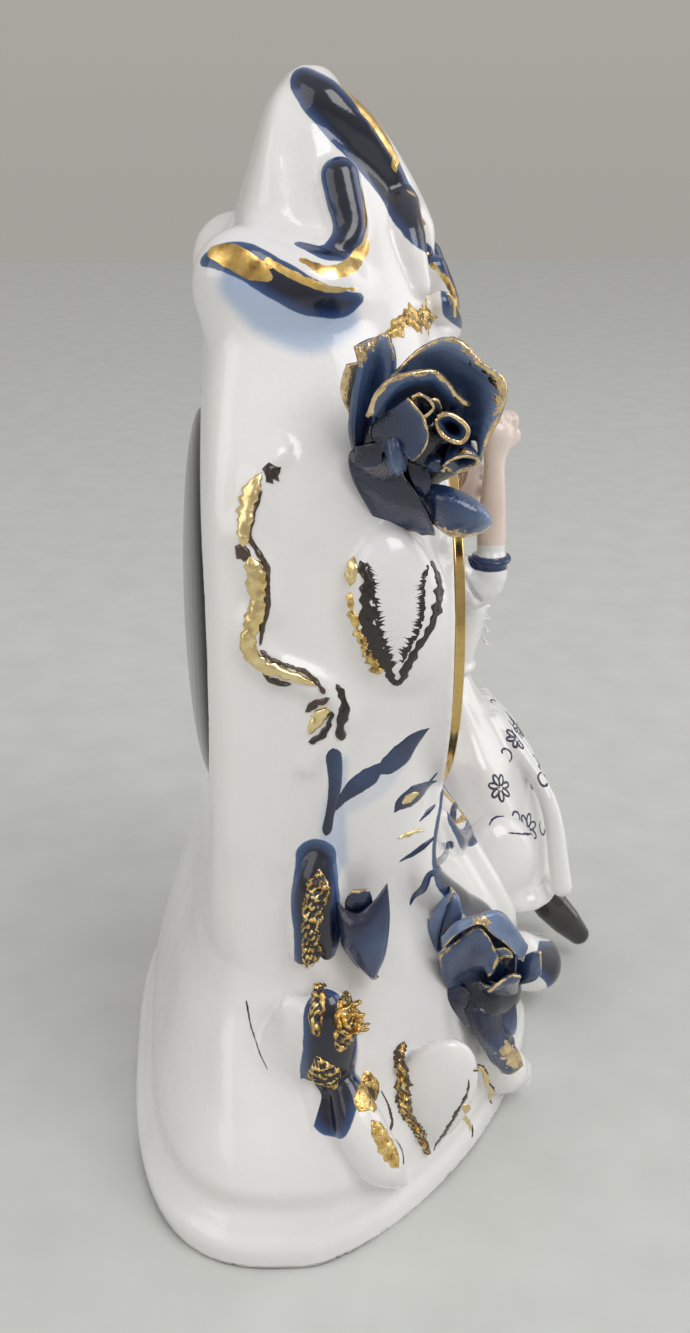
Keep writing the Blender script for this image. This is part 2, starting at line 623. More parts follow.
# geometry node trees: the given sizes, then instances made real and painted
def formTree(name, inputs):
    tree = bpy.data.node_groups.new(name, "GeometryNodeTree")
    sockets = [("Geometry", "Geometry"), *inputs.items(), ("Material", "Material")]
    for label, kind in sockets:
        tree.interface.new_socket(label, in_out="INPUT", socket_type="NodeSocket" + kind)
    tree.interface.new_socket("Geometry", in_out="OUTPUT", socket_type="NodeSocketGeometry")
    return tree, tree.nodes.new("NodeGroupInput").outputs


def endTree(tree, given, geometry):
    real = addNode(tree, "GeometryNodeRealizeInstances", {0: geometry}).outputs[0]
    painted = addNode(tree, "GeometryNodeSetMaterial", {"Geometry": real, "Material": given["Material"]})
    addNode(tree, "NodeGroupOutput", {0: painted.outputs[0]})
    return tree


# a plain mesh grown by a tree from a few seed places with vectors on them
def grow(name, tree, settings, material, slot, node=None, places=(), vectors=None):
    seeds = bpy.data.meshes.new(name)
    seeds.from_pydata([tuple(place * mm) for place in places], [], [])
    for label, values in (vectors or {}).items():
        layer = seeds.attributes.new(label, "FLOAT_VECTOR", "POINT")
        layer.data.foreach_set("vector", np.ascontiguousarray(values, dtype=np.float32).ravel())
    piece = bpy.data.objects.new(name, seeds)
    bpy.context.scene.collection.objects.link(piece)
    step = piece.modifiers.new("form", "NODES")
    step.node_group = tree
    values = {"Material": material, **settings}
    for socket in tree.interface.items_tree:
        if socket.in_out == "INPUT" and socket.name in values:
            step[socket.identifier] = values[socket.name]
    applyModifiers(piece)
    declare(piece, node)


print("finishes ready:", len(bpy.data.materials))


# the case body, as sections of [height, left, right, front, back, power of the front curve]
caseBody = {
    "sections": [
        [0, -112, 112, -50, 81, 1.45], [8, -112, 112, -50, 81, 1.45], [15, -108, 108, -47, 76, 1.5],
        [23, -108, 108, -47, 75.5, 1.5], [38, -100, 99, -43, 71, 1.7], [52, -92, 90, -37, 66.5, 2],
        [66, -85, 78, -29, 61.5, 2.4], [88, -81, 66, -16, 57, 3], [118, -82, 60, -10, 54.8, 4],
        [162.5, -84, 58, -10, 54.8, 5], [206.5, -79, 51, -10, 54.4, 4.4], [234.5, -65, 38, -10, 52.6, 3.2],
        [250.5, -56, 28, -9, 51.5, 2.6], [267, -46, 16, -4, 43.5, 2.4], [285, -39, 11, 6, 37.5, 2.2],
        [297, -32, 4, 12, 33.5, 2.2], [305.5, -23, -5, 16, 27.5, 2.2]],
    "seamShare": 0.62, "cornerHeights": (0, 75, 112, 200, 240), "leftBack": (3.1, 4, 9, 9, 4.6),
    "rightBack": (2.1, 3.2, 4.4, 4.6, 4.6), "step": 1.2, "wall": 6, "cavityTop": 256,
    "frontSeat": (60, -8), "rearSeat": 55.5, "frontBore": 51.2, "rearHole": 50,
    "drum": (66, -9.3, 41.5), "topRound": 5, "grooveHeight": 9.5, "grooveWidth": 2.4,
    "grooveDepth": 0.8, "mostFaces": 190000, "hollowWeight": 6,
    "sideReach": 114, "frontReach": -84, "search": 130, "clearFront": -60, "clearBack": 90,
}
unpainted = -20.0  # mask value far outside every stroke


def sectionAt(z):
    rows = np.array(caseBody["sections"], dtype=np.float64)
    z = np.clip(np.asarray(z, dtype=np.float64), rows[0, 0], rows[-1, 0])
    k = np.clip(np.searchsorted(rows[:, 0], z, side="left") - 1, 0, len(rows) - 2)
    low = np.maximum(np.arange(len(rows)) - 1, 0)
    high = np.minimum(np.arange(len(rows)) + 1, len(rows) - 1)
    slopes = (rows[high] - rows[low]) / (rows[high, 0] - rows[low, 0])[:, None]
    span = rows[k + 1, 0] - rows[k, 0]
    t = (z - rows[k, 0]) / span
    values = []
    for column in range(1, 6):
        a, b = rows[k, column], rows[k + 1, column]
        m, n = slopes[k, column] * span, slopes[k + 1, column] * span
        values.append(a * (2 * t ** 3 - 3 * t ** 2 + 1) + m * (t ** 3 - 2 * t ** 2 + t)
                      + b * (3 * t ** 2 - 2 * t ** 3) + n * (t ** 3 - t ** 2))
    left, right, front, back, power = values
    seam = front + (back - front) * caseBody["seamShare"]
    mix = [np.interp(z, caseBody["cornerHeights"], caseBody[name]) for name in ("leftBack", "rightBack")]
    return {"middle": (left + right) / 2, "half": (right - left) / 2, "seam": seam, "front": seam - front,
            "back": back - seam, "power": power, "leftBack": mix[0], "rightBack": mix[1]}


# places on the side wall (side -1 is the left) and on the front
def onSide(side, y, z, lift=0.0):
    s = sectionAt(z)
    rear = "leftBack" if side < 0 else "rightBack"
    deep, power = (s["back"], s[rear]) if y > s["seam"] else (s["front"], s["power"])
    share = min(abs(y - s["seam"]) / deep, 0.985)
    return np.array([s["middle"] + side * (s["half"] * (1 - share ** power) ** (1 / power) + lift), y, z])


def onFront(x, z, lift=0.0):
    s = sectionAt(z)
    share = min(abs(x - s["middle"]) / s["half"], 0.985)
    return np.array([x, s["seam"] - s["front"] * (1 - share ** s["power"]) ** (1 / s["power"]) - lift, z])


# how far outside the body a place lies, as a share of its reach, then in millimetres
def bodyGauge(x, y, z, grow):
    s = sectionAt(z)
    half, back, front = (np.maximum(s[name] + grow, 0.5) for name in ("half", "back", "front"))
    across = np.abs(x - s["middle"]) / half
    depth = y - s["seam"]
    deep = np.where(depth > 0, depth / back, -depth / front)
    power = np.where(depth > 0, np.where(x < s["middle"], s["leftBack"], s["rightBack"]), s["power"])
    return (across ** power + deep ** power + 1e-9) ** (1 / power)


def bodyField(clay, grow):
    x, y, z = clay.whole()
    gauge = bodyGauge(x, y, z, grow)
    gx, gy, gz = np.gradient(gauge, clay.step)
    steep = np.sqrt(gx * gx + gy * gy + gz * gz) + 1e-4
    return np.clip((gauge - 1) / steep, -40, 40)


def sidePath(side, places, lift=0.0):
    return [onSide(side, y, z, up) for (y, z), up in zip(places, np.broadcast_to(lift, len(places)))]


def frontPath(places, lift=0.0):
    return [onFront(x, z, up) for (x, z), up in zip(places, np.broadcast_to(lift, len(places)))]


# routes on the side wall as [y, z], shared by the relief and the painting
sideRoutes = {
    "ridge": [(34.9, 216), (39.5, 211), (41, 203), (43.5, 196), (41, 188), (39.5, 181), (43, 172),
        (38, 164.5), (33, 162), (27, 159), (22, 155.5), (20, 149), (25, 142), (29, 136)],
    "sideEdge": [(21, 142), (23.5, 125), (24.5, 108)],
    "crestBand": [(24.5, 301.5), (20, 297), (13, 290.5), (6.5, 283), (-0.5, 273), (-5.5, 265), (-8, 258.5)],
    "crestCurl": [(16.8, 279), (15.6, 273), (14.6, 267.5), (16.6, 263.4), (21.5, 261.8), (27.5, 263.4)],
    "tongue": [(20, 46), (17, 37), (11.5, 26), (5, 15)],
}


def pressSideRelief(clay, side):
    def lay(name, lift, widths, softness):
        clay.strand(sidePath(side, sideRoutes[name], lift), widths, softness)

    # the fold behind the crest band
    clay.strand(sidePath(side, [(29, 296), (29.5, 287), (28, 276)], 4.4), [1.5, 4.0, 2.5], 5, carved=True)
    # shoulder knob, crest curl and crest band
    clay.ball(onSide(side, 42, 255, -3), (11, 12.5, 13), 9, (0, side * 18, 0))
    clay.ball(onSide(side, 26, 253, -2), (9, 13, 9), 8, (-10, 0, 0))
    lay("crestCurl", 0.6, [5.4, 5.2, 4.6, 4.0, 3.0, 1.6], 1.4)
    lay("crestBand", -1.8, [4.4, 6.2, 6.9, 6.8, 6.4, 5.2, 2.6], 2.0)
    # smooth shell lobe beside the bezel
    clay.ball(onSide(side, 6, 177, -1.0), (6.5, 12.5, 21), 4, (-8, 0, -14 * side))
    # bed of the gilt edge, and the edge that runs down from it
    lay("ridge", -0.8, [2.2, 3.0, 3.4, 3.4, 3.2, 3.4, 2.6, 1.6], 4)
    lay("sideEdge", -0.4, [1.5, 2.0, 2.4], 3)
    # scroll lobes down to the foot, with the pale bulge behind them
    clay.ball(onSide(side, 27, 91.5, 0.5), (7.2, 7.8, 19.5), 1.6, (4, 0, 0))
    clay.ball(onSide(side, 25, 57, 2.5), (8.6, 8.8, 20), 1.6, (0, 12 * side, 0))
    clay.ball(onSide(side, 35.5, 57, 0.0), (6.5, 9.5, 17), 3, (0, 12 * side, 0))
    lay("tongue", 2.2, [4.5, 7.0, 6.8, 2.4], 1.5)
    clay.ball(onSide(side, -4.5, 34, 1.0), (6.0, 12.5, 23), 2, (14, 14 * side, 0))
    # dip between the upright body and the foot
    if side < 0:
        clay.strand(sidePath(side, [(46, 84), (45, 64), (44, 46)], 8.5), [3, 6, 4], 9, carved=True)


crownRibs = (-56, -28, 0, 28, 56)


# shell rib of the crown over the dial, at an angle from upright
def crownRib(turn, near, far):
    lean = radians(turn)
    return [(dialX + r * sin(lean), dialZ + 70 + r * cos(lean) * 1.08) for r in (near, (near + far) / 2, far)]


def pressFrontRelief(clay):
    clay.ball(onFront(dialX, dialZ + 72, 1), (26, 5.5, 9), 3)
    for turn in crownRibs:
        clay.strand(frontPath(crownRib(turn, 0, 24), [1, 4, 3]), [2.2, 4.6, 3.6], 1.2)
    for side in (-1, 1):
        clay.strand(frontPath([(dialX + side * 8, 228), (dialX + side * 22, 233), (dialX + side * 32, 224),
                               (dialX + side * 28, 216)], 2.5), [2.2, 3.6, 3.4, 2.2], 2)
        clay.strand(frontPath([(-14 + side * 27, 252), (-14 + side * 22, 264), (-14 + side * 11, 272),
                               (-14 + side * 8, 264)], 1.0), [3, 5, 4.6, 2.6], 2)
    # scrolls that carry the drum down to the foot
    clay.strand(frontPath([(-66, 118), (-72, 100), (-58, 80), (-44, 66), (-40, 50)], 0.8),
                [3, 5, 5.8, 5, 3.2], 2.5)
    clay.strand(frontPath([(-30, 94), (-22, 82), (-6, 78), (8, 84), (14, 94)], 1.2), [2.6, 4.2, 6, 4.2, 2.6],
                2)
    clay.strand(frontPath([(-6, 74), (-10, 60), (-9, 48), (-3, 40)], 1.0), [5, 4.8, 4.2, 2.8], 3)
    # lobes at the foot
    clay.strand([onFront(-58, 30, 1), onFront(-50, 17, 2), onFront(-43, 9.5, 4)], [6, 8.4, 5.5], 2)
    clay.strand([onFront(0, 28, 2), onFront(8, 18, 8), onFront(13, 11.5, 11)], [7, 10.5, 7], 2)
    clay.strand([onFront(84, 34, 1), onFront(70, 18, 4), onFront(52, 13, 4)], [5, 8.6, 5.5], 2)
    # mound that the figure sits on
    clay.ball((46, -22, 54), (33, 24, 32), 8)


def makeCaseClay():
    b = caseBody
    clay = Clay([-114.5, -84.5, -2.5], [114.5, 84.5, 311], b["step"])
    x, y, z = clay.whole()
    clay.field = bodyField(clay, 0.0).astype(np.float32)
    clay.press(clay.everything, (caseTop - 0.6) - z + 0 * x + 0 * y, b["topRound"], carved=True)
    clay.drum(*b["drum"], 3.0)
    for side in (-1, 1):
        pressSideRelief(clay, side)
    pressFrontRelief(clay)
    # groove over the foot rim
    groove = np.exp(-((z - b["grooveHeight"]) / b["grooveWidth"]) ** 2)
    clay.field += b["grooveDepth"] * groove.astype(np.float32)
    cavity = np.maximum(bodyField(clay, -b["wall"]), z - b["cavityTop"])
    clay.press(clay.everything, cavity, 0.0, carved=True)
    # bores and seats for the insert and the cover
    middle = (b["frontSeat"][1] + coverSeat) / 2
    for radius, front, back, softness in (
            (b["frontSeat"][0], b["clearFront"], b["frontSeat"][1], 0.0),
            (b["frontBore"], b["clearFront"], middle, 0.0), (b["rearHole"], middle - 1, b["clearBack"], 0.0),
            (b["rearSeat"], coverSeat - 0.4, b["clearBack"], 3.0)):
        clay.drum(radius, front, back, softness, carved=True)
    clay.field = np.maximum(clay.field, -z)
    return clay


caseClay = makeCaseClay()
casePoints, caseFaces = caseClay.skin()
print("case pressed:", len(casePoints), "points")


# first place where a straight line into the clay meets its surface
def meet(clay, start, toward, reach=90.0):
    start, toward = np.array(start, dtype=np.float64), np.array(toward, dtype=np.float64)
    toward /= np.linalg.norm(toward)
    runs = np.arange(0, reach, clay.step * 0.5)
    values = clay.sample(start + runs[:, None] * toward)
    hits = np.flatnonzero(values < 0)
    if not len(hits):
        return None
    k = max(hits[0], 1)
    a, b = values[k - 1], values[k]
    share = a / (a - b) if a > b else 0.0
    return start + (runs[k - 1] + share * clay.step * 0.5) * toward


def sideSpot(side, y, z):
    spot = meet(caseClay, (side * caseBody["sideReach"], y, z), (-side, 0, 0), caseBody["search"])
    return onSide(side, y, z) if spot is None else spot


def frontSpot(x, z):
    spot = meet(caseClay, (x, caseBody["frontReach"], z), (0, 1, 0), caseBody["search"])
    return onFront(x, z) if spot is None else spot


# wall or hollow, so that no paint reaches the inside
def hollowMask(points):
    far = np.hypot(points[:, 0] - dialX, points[:, 2] - dialZ)
    inBore = (far < caseBody["frontSeat"][0] - 0.5) & (points[:, 1] < coverSeat + 3)
    inside = bodyGauge(points[:, 0], points[:, 1], points[:, 2], -3.0) < 1
    return inside & (points[:, 2] < caseBody["cavityTop"] + 2) | inBore | (points[:, 2] < 0.4)


# strokes on both sides: [layer, places as (y, z), widths]
sideStrokes = [
    ("blue", [(25, 303), (21, 299.5), (14, 292), (7.5, 284.5), (0.5, 274.5), (-5, 266), (-8, 258.5)],
     [4.2, 6.2, 6.4, 6.6, 6.4, 5.4, 3]),
    ("gold", [(15.5, 301), (9.4, 295.4), (4.6, 289.6), (0.4, 283)], [0.8, 2.4, 2, 0.8]),
    ("gold", [(1.5, 282), (-3, 275), (-7, 267)], [0.9, 0.8, 0.6]),
    ("blue", [(17, 280.5), (15.8, 274), (14.8, 268), (16.4, 264), (21.5, 262), (27.5, 263.8)],
     [5.6, 5.4, 5, 4.2, 3, 1.6]),
    ("gold", [(11.2, 277), (10.4, 270), (11.2, 263), (15, 259), (21, 257.8), (27.5, 260.5)],
     [0.6, 1.4, 2, 2, 1.7, 0.8]),
    ("blue", [(27, 109), (28, 99), (26.5, 88), (28.5, 76)], [6, 7.6, 7.2, 5.4]),
    ("blue", [(26.5, 73), (23.8, 62), (24.5, 50), (24, 41)], [6, 8.6, 8.8, 6.4]),
    ("blue", [(51.5, 260.5), (47, 261.5), (41, 260.5), (34, 256.5), (26, 252), (18, 250), (13, 251)],
     [1.6, 3.6, 4.8, 5, 4.6, 3.4, 1.4]),
    ("gold", [(49.5, 262.5), (45, 261.8), (40, 259), (36, 256.8)], [1.6, 3.2, 3, 1.2]),
    ("gold", [(36, 260.5), (29, 256.8), (21, 253.8), (13.5, 253.2)], [1, 1.1, 0.9, 0.5]),
]
sideWashes = [
    ([(43, 255), (35, 250.5), (26, 246), (18, 246.5)], [3.5, 6.5, 6, 3], 4, 0.85),
    ([(20, 137), (22, 122), (22, 108)], [1, 2.6, 3.4], 2, 0.6),
    ([(20, 122), (12, 129), (4, 136)], [0.8, 3.8, 2.2], 2, 0.4),
]
frontStrokes = [
    ("gold", [(-44, 240), (-38, 249), (-33, 262)], [0.6, 1.2, 0.6]),
    ("gold", [(-32, 262), (-26, 249), (-20, 240)], [0.6, 1.2, 0.6]),
    ("blue", [(-66, 118), (-72, 100), (-58, 80), (-44, 66), (-40, 52)], [2.6, 4.4, 5, 4.4, 2.8]),
    ("gold", [(-62, 118), (-67, 100), (-53, 82), (-40, 68), (-37, 54)], [0.6, 1.1, 1.3, 1.1, 0.6]),
    ("blue", [(-30, 94), (-22, 82), (-6, 78), (8, 84), (14, 94)], [2.2, 3.6, 4.6, 3.6, 2.2]),
    ("gold", [(-28, 96), (-20, 86), (-6, 82.5), (6, 87.5), (12, 96)], [0.5, 1, 1.2, 1, 0.5]),
    ("blue", [(-2, 26), (4, 19), (12, 10)], [6, 9, 6.5]),
    ("blue", [(80, 32), (70, 18), (56, 11)], [4, 7, 4]),
    ("gold", [(80, 37), (70, 26), (58, 20)], [0.7, 1.2, 0.7]),
    ("blue", [(18, 63), (34, 55), (52, 54), (72, 60)], [0.6, 2.2, 2.2, 0.6]),
]


def paintCase(piece):
    points = placesOf(piece)
    outside = ~hollowMask(points)
    places = points[outside]
    layers = {name: np.full(len(places), unpainted) for name in ("blue", "gold", "dark")}
    washed = np.zeros(len(places))

    def paint(name, path, widths):
        np.maximum(layers[name], inStroke(places, path, widths), out=layers[name])

    for side in (-1, 1):
        for name, route, widths in sideStrokes:
            paint(name, [sideSpot(side, y, z) for y, z in route], widths)
        for route, widths, fade, strength in sideWashes:
            deep = inStroke(places, [sideSpot(side, y, z) for y, z in route], widths) / fade + 1
            np.maximum(washed, strength * np.clip(deep, 0, 1), out=washed)
    for name, route, widths in frontStrokes:
        paint(name, [frontSpot(x, z) for x, z in route], widths)
    for turn in crownRibs:
        paint("blue", [frontSpot(*p) for p in crownRib(turn, 14, 25)], [2.0, 3.6, 4.4])
        paint("gold", [frontSpot(*p) for p in crownRib(turn + 5, 12, 27)], [0.4, 0.8, 1.0])
    for name, inside in [*layers.items(), ("wash", washed)]:
        values = np.full(len(points), 0.0 if name == "wash" else unpainted)
        values[outside] = inside
        setMask(piece, name, values)


def makeCase():
    piece = newPiece("glazed_case", casePoints, caseFaces, porcelain, "white_porcelain", "case_shell")
    total = len(piece.data.polygons) * 2
    if total > caseBody["mostFaces"]:
        hollow = piece.vertex_groups.new(name="hollow")
        hollow.add([int(i) for i in np.flatnonzero(hollowMask(casePoints))], 1.0, "REPLACE")
        thinned(piece, caseBody["mostFaces"] / total, "hollow", caseBody["hollowWeight"])
    paintCase(piece)
    print("case:", len(piece.data.polygons), "faces")


makeCase()


# turned ring about the dial's axis from a list of [radius, y], or a turned solid whose ends lie on the axis
def lathe(profile, steps=128, closed=True):
    profile = np.asarray(profile, dtype=np.float64)
    turns = np.arange(steps) / steps * 2 * pi
    radius, y = profile[:, :1], profile[:, 1:]
    points = np.stack([dialX + radius * np.cos(turns), y + 0 * turns, dialZ + radius * np.sin(turns)], axis=2)
    at = np.arange(points.shape[0] * steps).reshape(-1, steps)
    after = np.roll(at, -1, axis=0)
    faces = np.stack([at, after, np.roll(after, -1, axis=1), np.roll(at, -1, axis=1)], axis=-1)
    if not closed:
        faces = faces[:-1]
        for end in (0, -1):
            points[end] = (dialX, profile[end][1], dialZ)
    return points.reshape(-1, 3), faces.reshape(-1, 4)


# corners of a profile rounded with short arcs
def rounded(profile, radius, steps=4):
    profile = [np.array(p, dtype=np.float64) for p in profile]
    fresh = []
    for i, corner in enumerate(profile):
        before, after = profile[i - 1] - corner, profile[(i + 1) % len(profile)] - corner
        reach = min(radius, np.linalg.norm(before) * 0.45, np.linalg.norm(after) * 0.45)
        a = corner + before / np.linalg.norm(before) * reach
        b = corner + after / np.linalg.norm(after) * reach
        for t in np.arange(steps + 1) / steps:
            fresh.append((1 - t) ** 2 * a + 2 * t * (1 - t) * corner + t * t * b)
    return fresh


# section of the bezel: [from the window's edge, back from the front] inside, the same from the rim outside
bezelForm = {"window": 46.8, "radius": 59.0, "front": -13.5, "seat": -8.3, "sleeve": 49.8, "sleeveEnd": 12.0,
             "sleeveWall": 1.2, "glassSeat": -11.2, "rounding": 0.45,
             "flange": [(0, 0.9), (1.2, 0), (3.0, 0.2), (4.2, 1.2), (5.4, 0.5)],
             "cove": [(3.4, 0.1), (0.7, 0.3), (1.0, 1.9), (1.1, 2.8), (0, 3.5)]}


def makeBezel():
    b = bezelForm
    inner = b["sleeve"] - b["sleeveWall"]
    profile = [(b["window"], b["glassSeat"])]
    profile += [(b["window"] + out, b["front"] + back) for out, back in b["flange"]]
    profile += [(b["radius"] - inside, b["front"] + back) for inside, back in b["cove"]]
    profile += [(b["radius"], b["seat"]), (b["sleeve"], b["seat"]), (b["sleeve"], b["sleeveEnd"]),
                (inner, b["sleeveEnd"]), (inner, b["glassSeat"])]
    points, faces = lathe(rounded(profile, b["rounding"]), 160)
    outward(newPiece("bezel_ring", points, faces, gilt, "gilt_metal", "bezel"), merged=True)


coverForm = {"radius": 54.0, "dome": 8.6, "edge": 1.4, "wall": 1.8, "skirt": 49.5, "outerSteps": 18,
             "innerSteps": 7}


def makeCover():
    c = coverForm
    dome, inner = c["dome"] - c["edge"], c["skirt"] - c["wall"]
    profile = [(0.02, coverSeat + c["dome"])]
    for share in np.arange(1, c["outerSteps"] + 1) / c["outerSteps"] * pi / 2:
        profile.append((c["radius"] * sin(share), coverSeat + c["edge"] + dome * cos(share)))
    profile += [(c["radius"], coverSeat), (c["skirt"], coverSeat), (c["skirt"], coverSeat - coverSkirt),
                (inner, coverSeat - coverSkirt)]
    for share in np.arange(c["innerSteps"], 0, -1) / (c["innerSteps"] + 1) * pi / 2:
        profile.append((inner * sin(share), coverSeat + c["edge"] + (dome - c["wall"]) * cos(share)))
    profile.append((0.02, coverSeat + c["dome"] - c["wall"]))
    points, faces = lathe(profile, closed=False)
    piece = newPiece("back_cover", points, faces, coverPlastic, "cover_plastic", "rear_cover", "cover_body")
    outward(piece, merged=True)


makeBezel()
makeCover()
print("bezel and cover ready")


# hand-built petals: sheets of clay drawn through a few rows of places, thickened and closed all round
# places are [across, down, out]: across and down as seen from the side, in the view's own drawing units,
# and out from the wall in millimetres; rows run from the root to the rim

flowerViews = {
    "upper": {"wall": (-76, -3, 217), "middle": (667, 834), "perMm": (26.2, 26.6), "lean": (4, 5.7)},
    "lower": {"wall": (-60, -27, 54), "middle": (614, 735), "perMm": (21.9, 19.5), "lean": (4.2, 12.3)},
    "sprig": {"wall": (-84, 15, 84), "middle": (361, 942), "perMm": (3.67, 3.27), "lean": (0.38, 1.93)},
}
nearer = 0.0026  # a place further out looks this much larger for each millimetre
petalForm = {"rows": 22, "columns": 26, "thickness": 1.5, "rimThickness": 0.9, "lipReach": 3.2}


def fromView(view, place):
    v = flowerViews[view]
    across, down, out = place
    grow = 1 + nearer * out
    right = (across - v["middle"][0] - v["lean"][0] * out) / v["perMm"][0] / grow
    up = (v["middle"][1] + v["lean"][1] * out - down) / v["perMm"][1] / grow
    return np.array(v["wall"], dtype=np.float64) + (-out, -right, up)


# a petal as [points, faces, share up from its root, distance to its rim]
def petalSheet(view, rows, thickness=1.0, lip=0.0, ruffle=0.0, phase=0.0, closed=False):
    f = petalForm
    grid = np.array([spread([fromView(view, p) for p in row], f["columns"]) for row in rows])
    middle = np.empty((f["rows"], f["columns"], 3))
    for j in range(f["columns"]):
        path, _ = smoothPath(grid[:, j], [1, 1], 10 * (len(rows) - 1))
        middle[:, j] = pathAt(np.linspace(0, len(path) - 1, f["rows"]), np.arange(len(path)), path)
    if closed:
        middle[:, -1] = middle[:, 0]
    left = np.stack([runAlong(row) for row in middle])
    right = left[:, -1:] - left
    up = np.stack([runAlong(middle[:, j]) for j in range(f["columns"])], axis=1)
    tip = up[-1:] - up
    rim = tip if closed else np.minimum(np.minimum(left, right) + 2.4 * (1 - up / up[-1:]), tip)
    normals = np.cross(np.gradient(middle, axis=0), np.gradient(middle, axis=1))
    normals /= np.linalg.norm(normals, axis=2, keepdims=True) + 1e-9
    if normals[..., 0].mean() > 0:
        normals = -normals  # towards the viewer
    near = np.clip(1 - rim / f["lipReach"], 0, 1)[:, :, None]
    s, t = np.meshgrid(np.linspace(0, 1, f["rows"]), np.linspace(0, 1, f["columns"]), indexing="ij")
    waves = np.sin(17 * t + 5 * s + phase) + 0.6 * np.sin(31 * t - 7 * s + 2 * phase)
    middle = middle + normals * (-lip * near ** 2 + ruffle * waves[:, :, None] * near)
    thick = f["rimThickness"] + (f["thickness"] - f["rimThickness"]) * np.clip(rim / 3, 0, 1)
    half = normals * thick[:, :, None] * thickness / 2
    points = np.concatenate([(middle + half).reshape(-1, 3), (middle - half).reshape(-1, 3)])
    share = up / np.maximum(up[-1:], 1e-6)
    return points, sheetFaces(f["rows"], f["columns"]), np.tile(share.reshape(-1),
                                                                2), np.tile(rim.reshape(-1), 2)


def gridPoints(clay):
    spots = [clay.low[k] + clay.step * np.arange(clay.count[k]) for k in range(3)]
    return np.stack(np.meshgrid(*spots, indexing="ij"), axis=-1).reshape(-1, 3)


def makeFlower(name, view, petals, mounds, node):
    parts, masks = [], {"along": [], "rim": [], "gilt": [], "tone": [], "crust": []}

    def add(points, faces, **values):
        parts.append((points, faces))
        for label, value in values.items():
            masks[label].append(np.broadcast_to(value, len(points)))

    for petal in petals:
        shape = {key: value for key, value in petal.items() if key not in ("tone", "gilt", "crust")}
        points, faces, along, rim = petalSheet(view, **shape)
        crust = -5.0
        if "crust" in petal:
            places, widths = petal["crust"]
            crust = inStroke(points, [fromView(view, place) for place in places], widths)
        add(points, faces, along=along, rim=rim, gilt=petal.get("gilt", 0.0), tone=petal.get("tone", 0.0),
            crust=crust)
    # heart of the flower, pressed on to the wall under the petals
    centres = np.array([fromView(view, place) for place, _ in mounds])
    reach = max(max(radii) for _, radii in mounds) + 3
    clay = Clay(centres.min(axis=0) - reach, centres.max(axis=0) + reach, 0.8)
    for centre, (_, radii) in zip(centres, mounds):
        clay.ball(centre, radii, 2.5)
    clay.field = np.maximum(clay.field, 0.4 - caseClay.sample(gridPoints(clay)).reshape(clay.count))
    add(*clay.skin(1), along=0.1, rim=9.0, gilt=0.0, tone=-0.2, crust=-5.0)
    piece = newPiece(name, *joined(parts), petalGlaze, "cobalt_glaze", node)
    for label, values in masks.items():
        setMask(piece, label, np.concatenate(values))
    outward(piece)


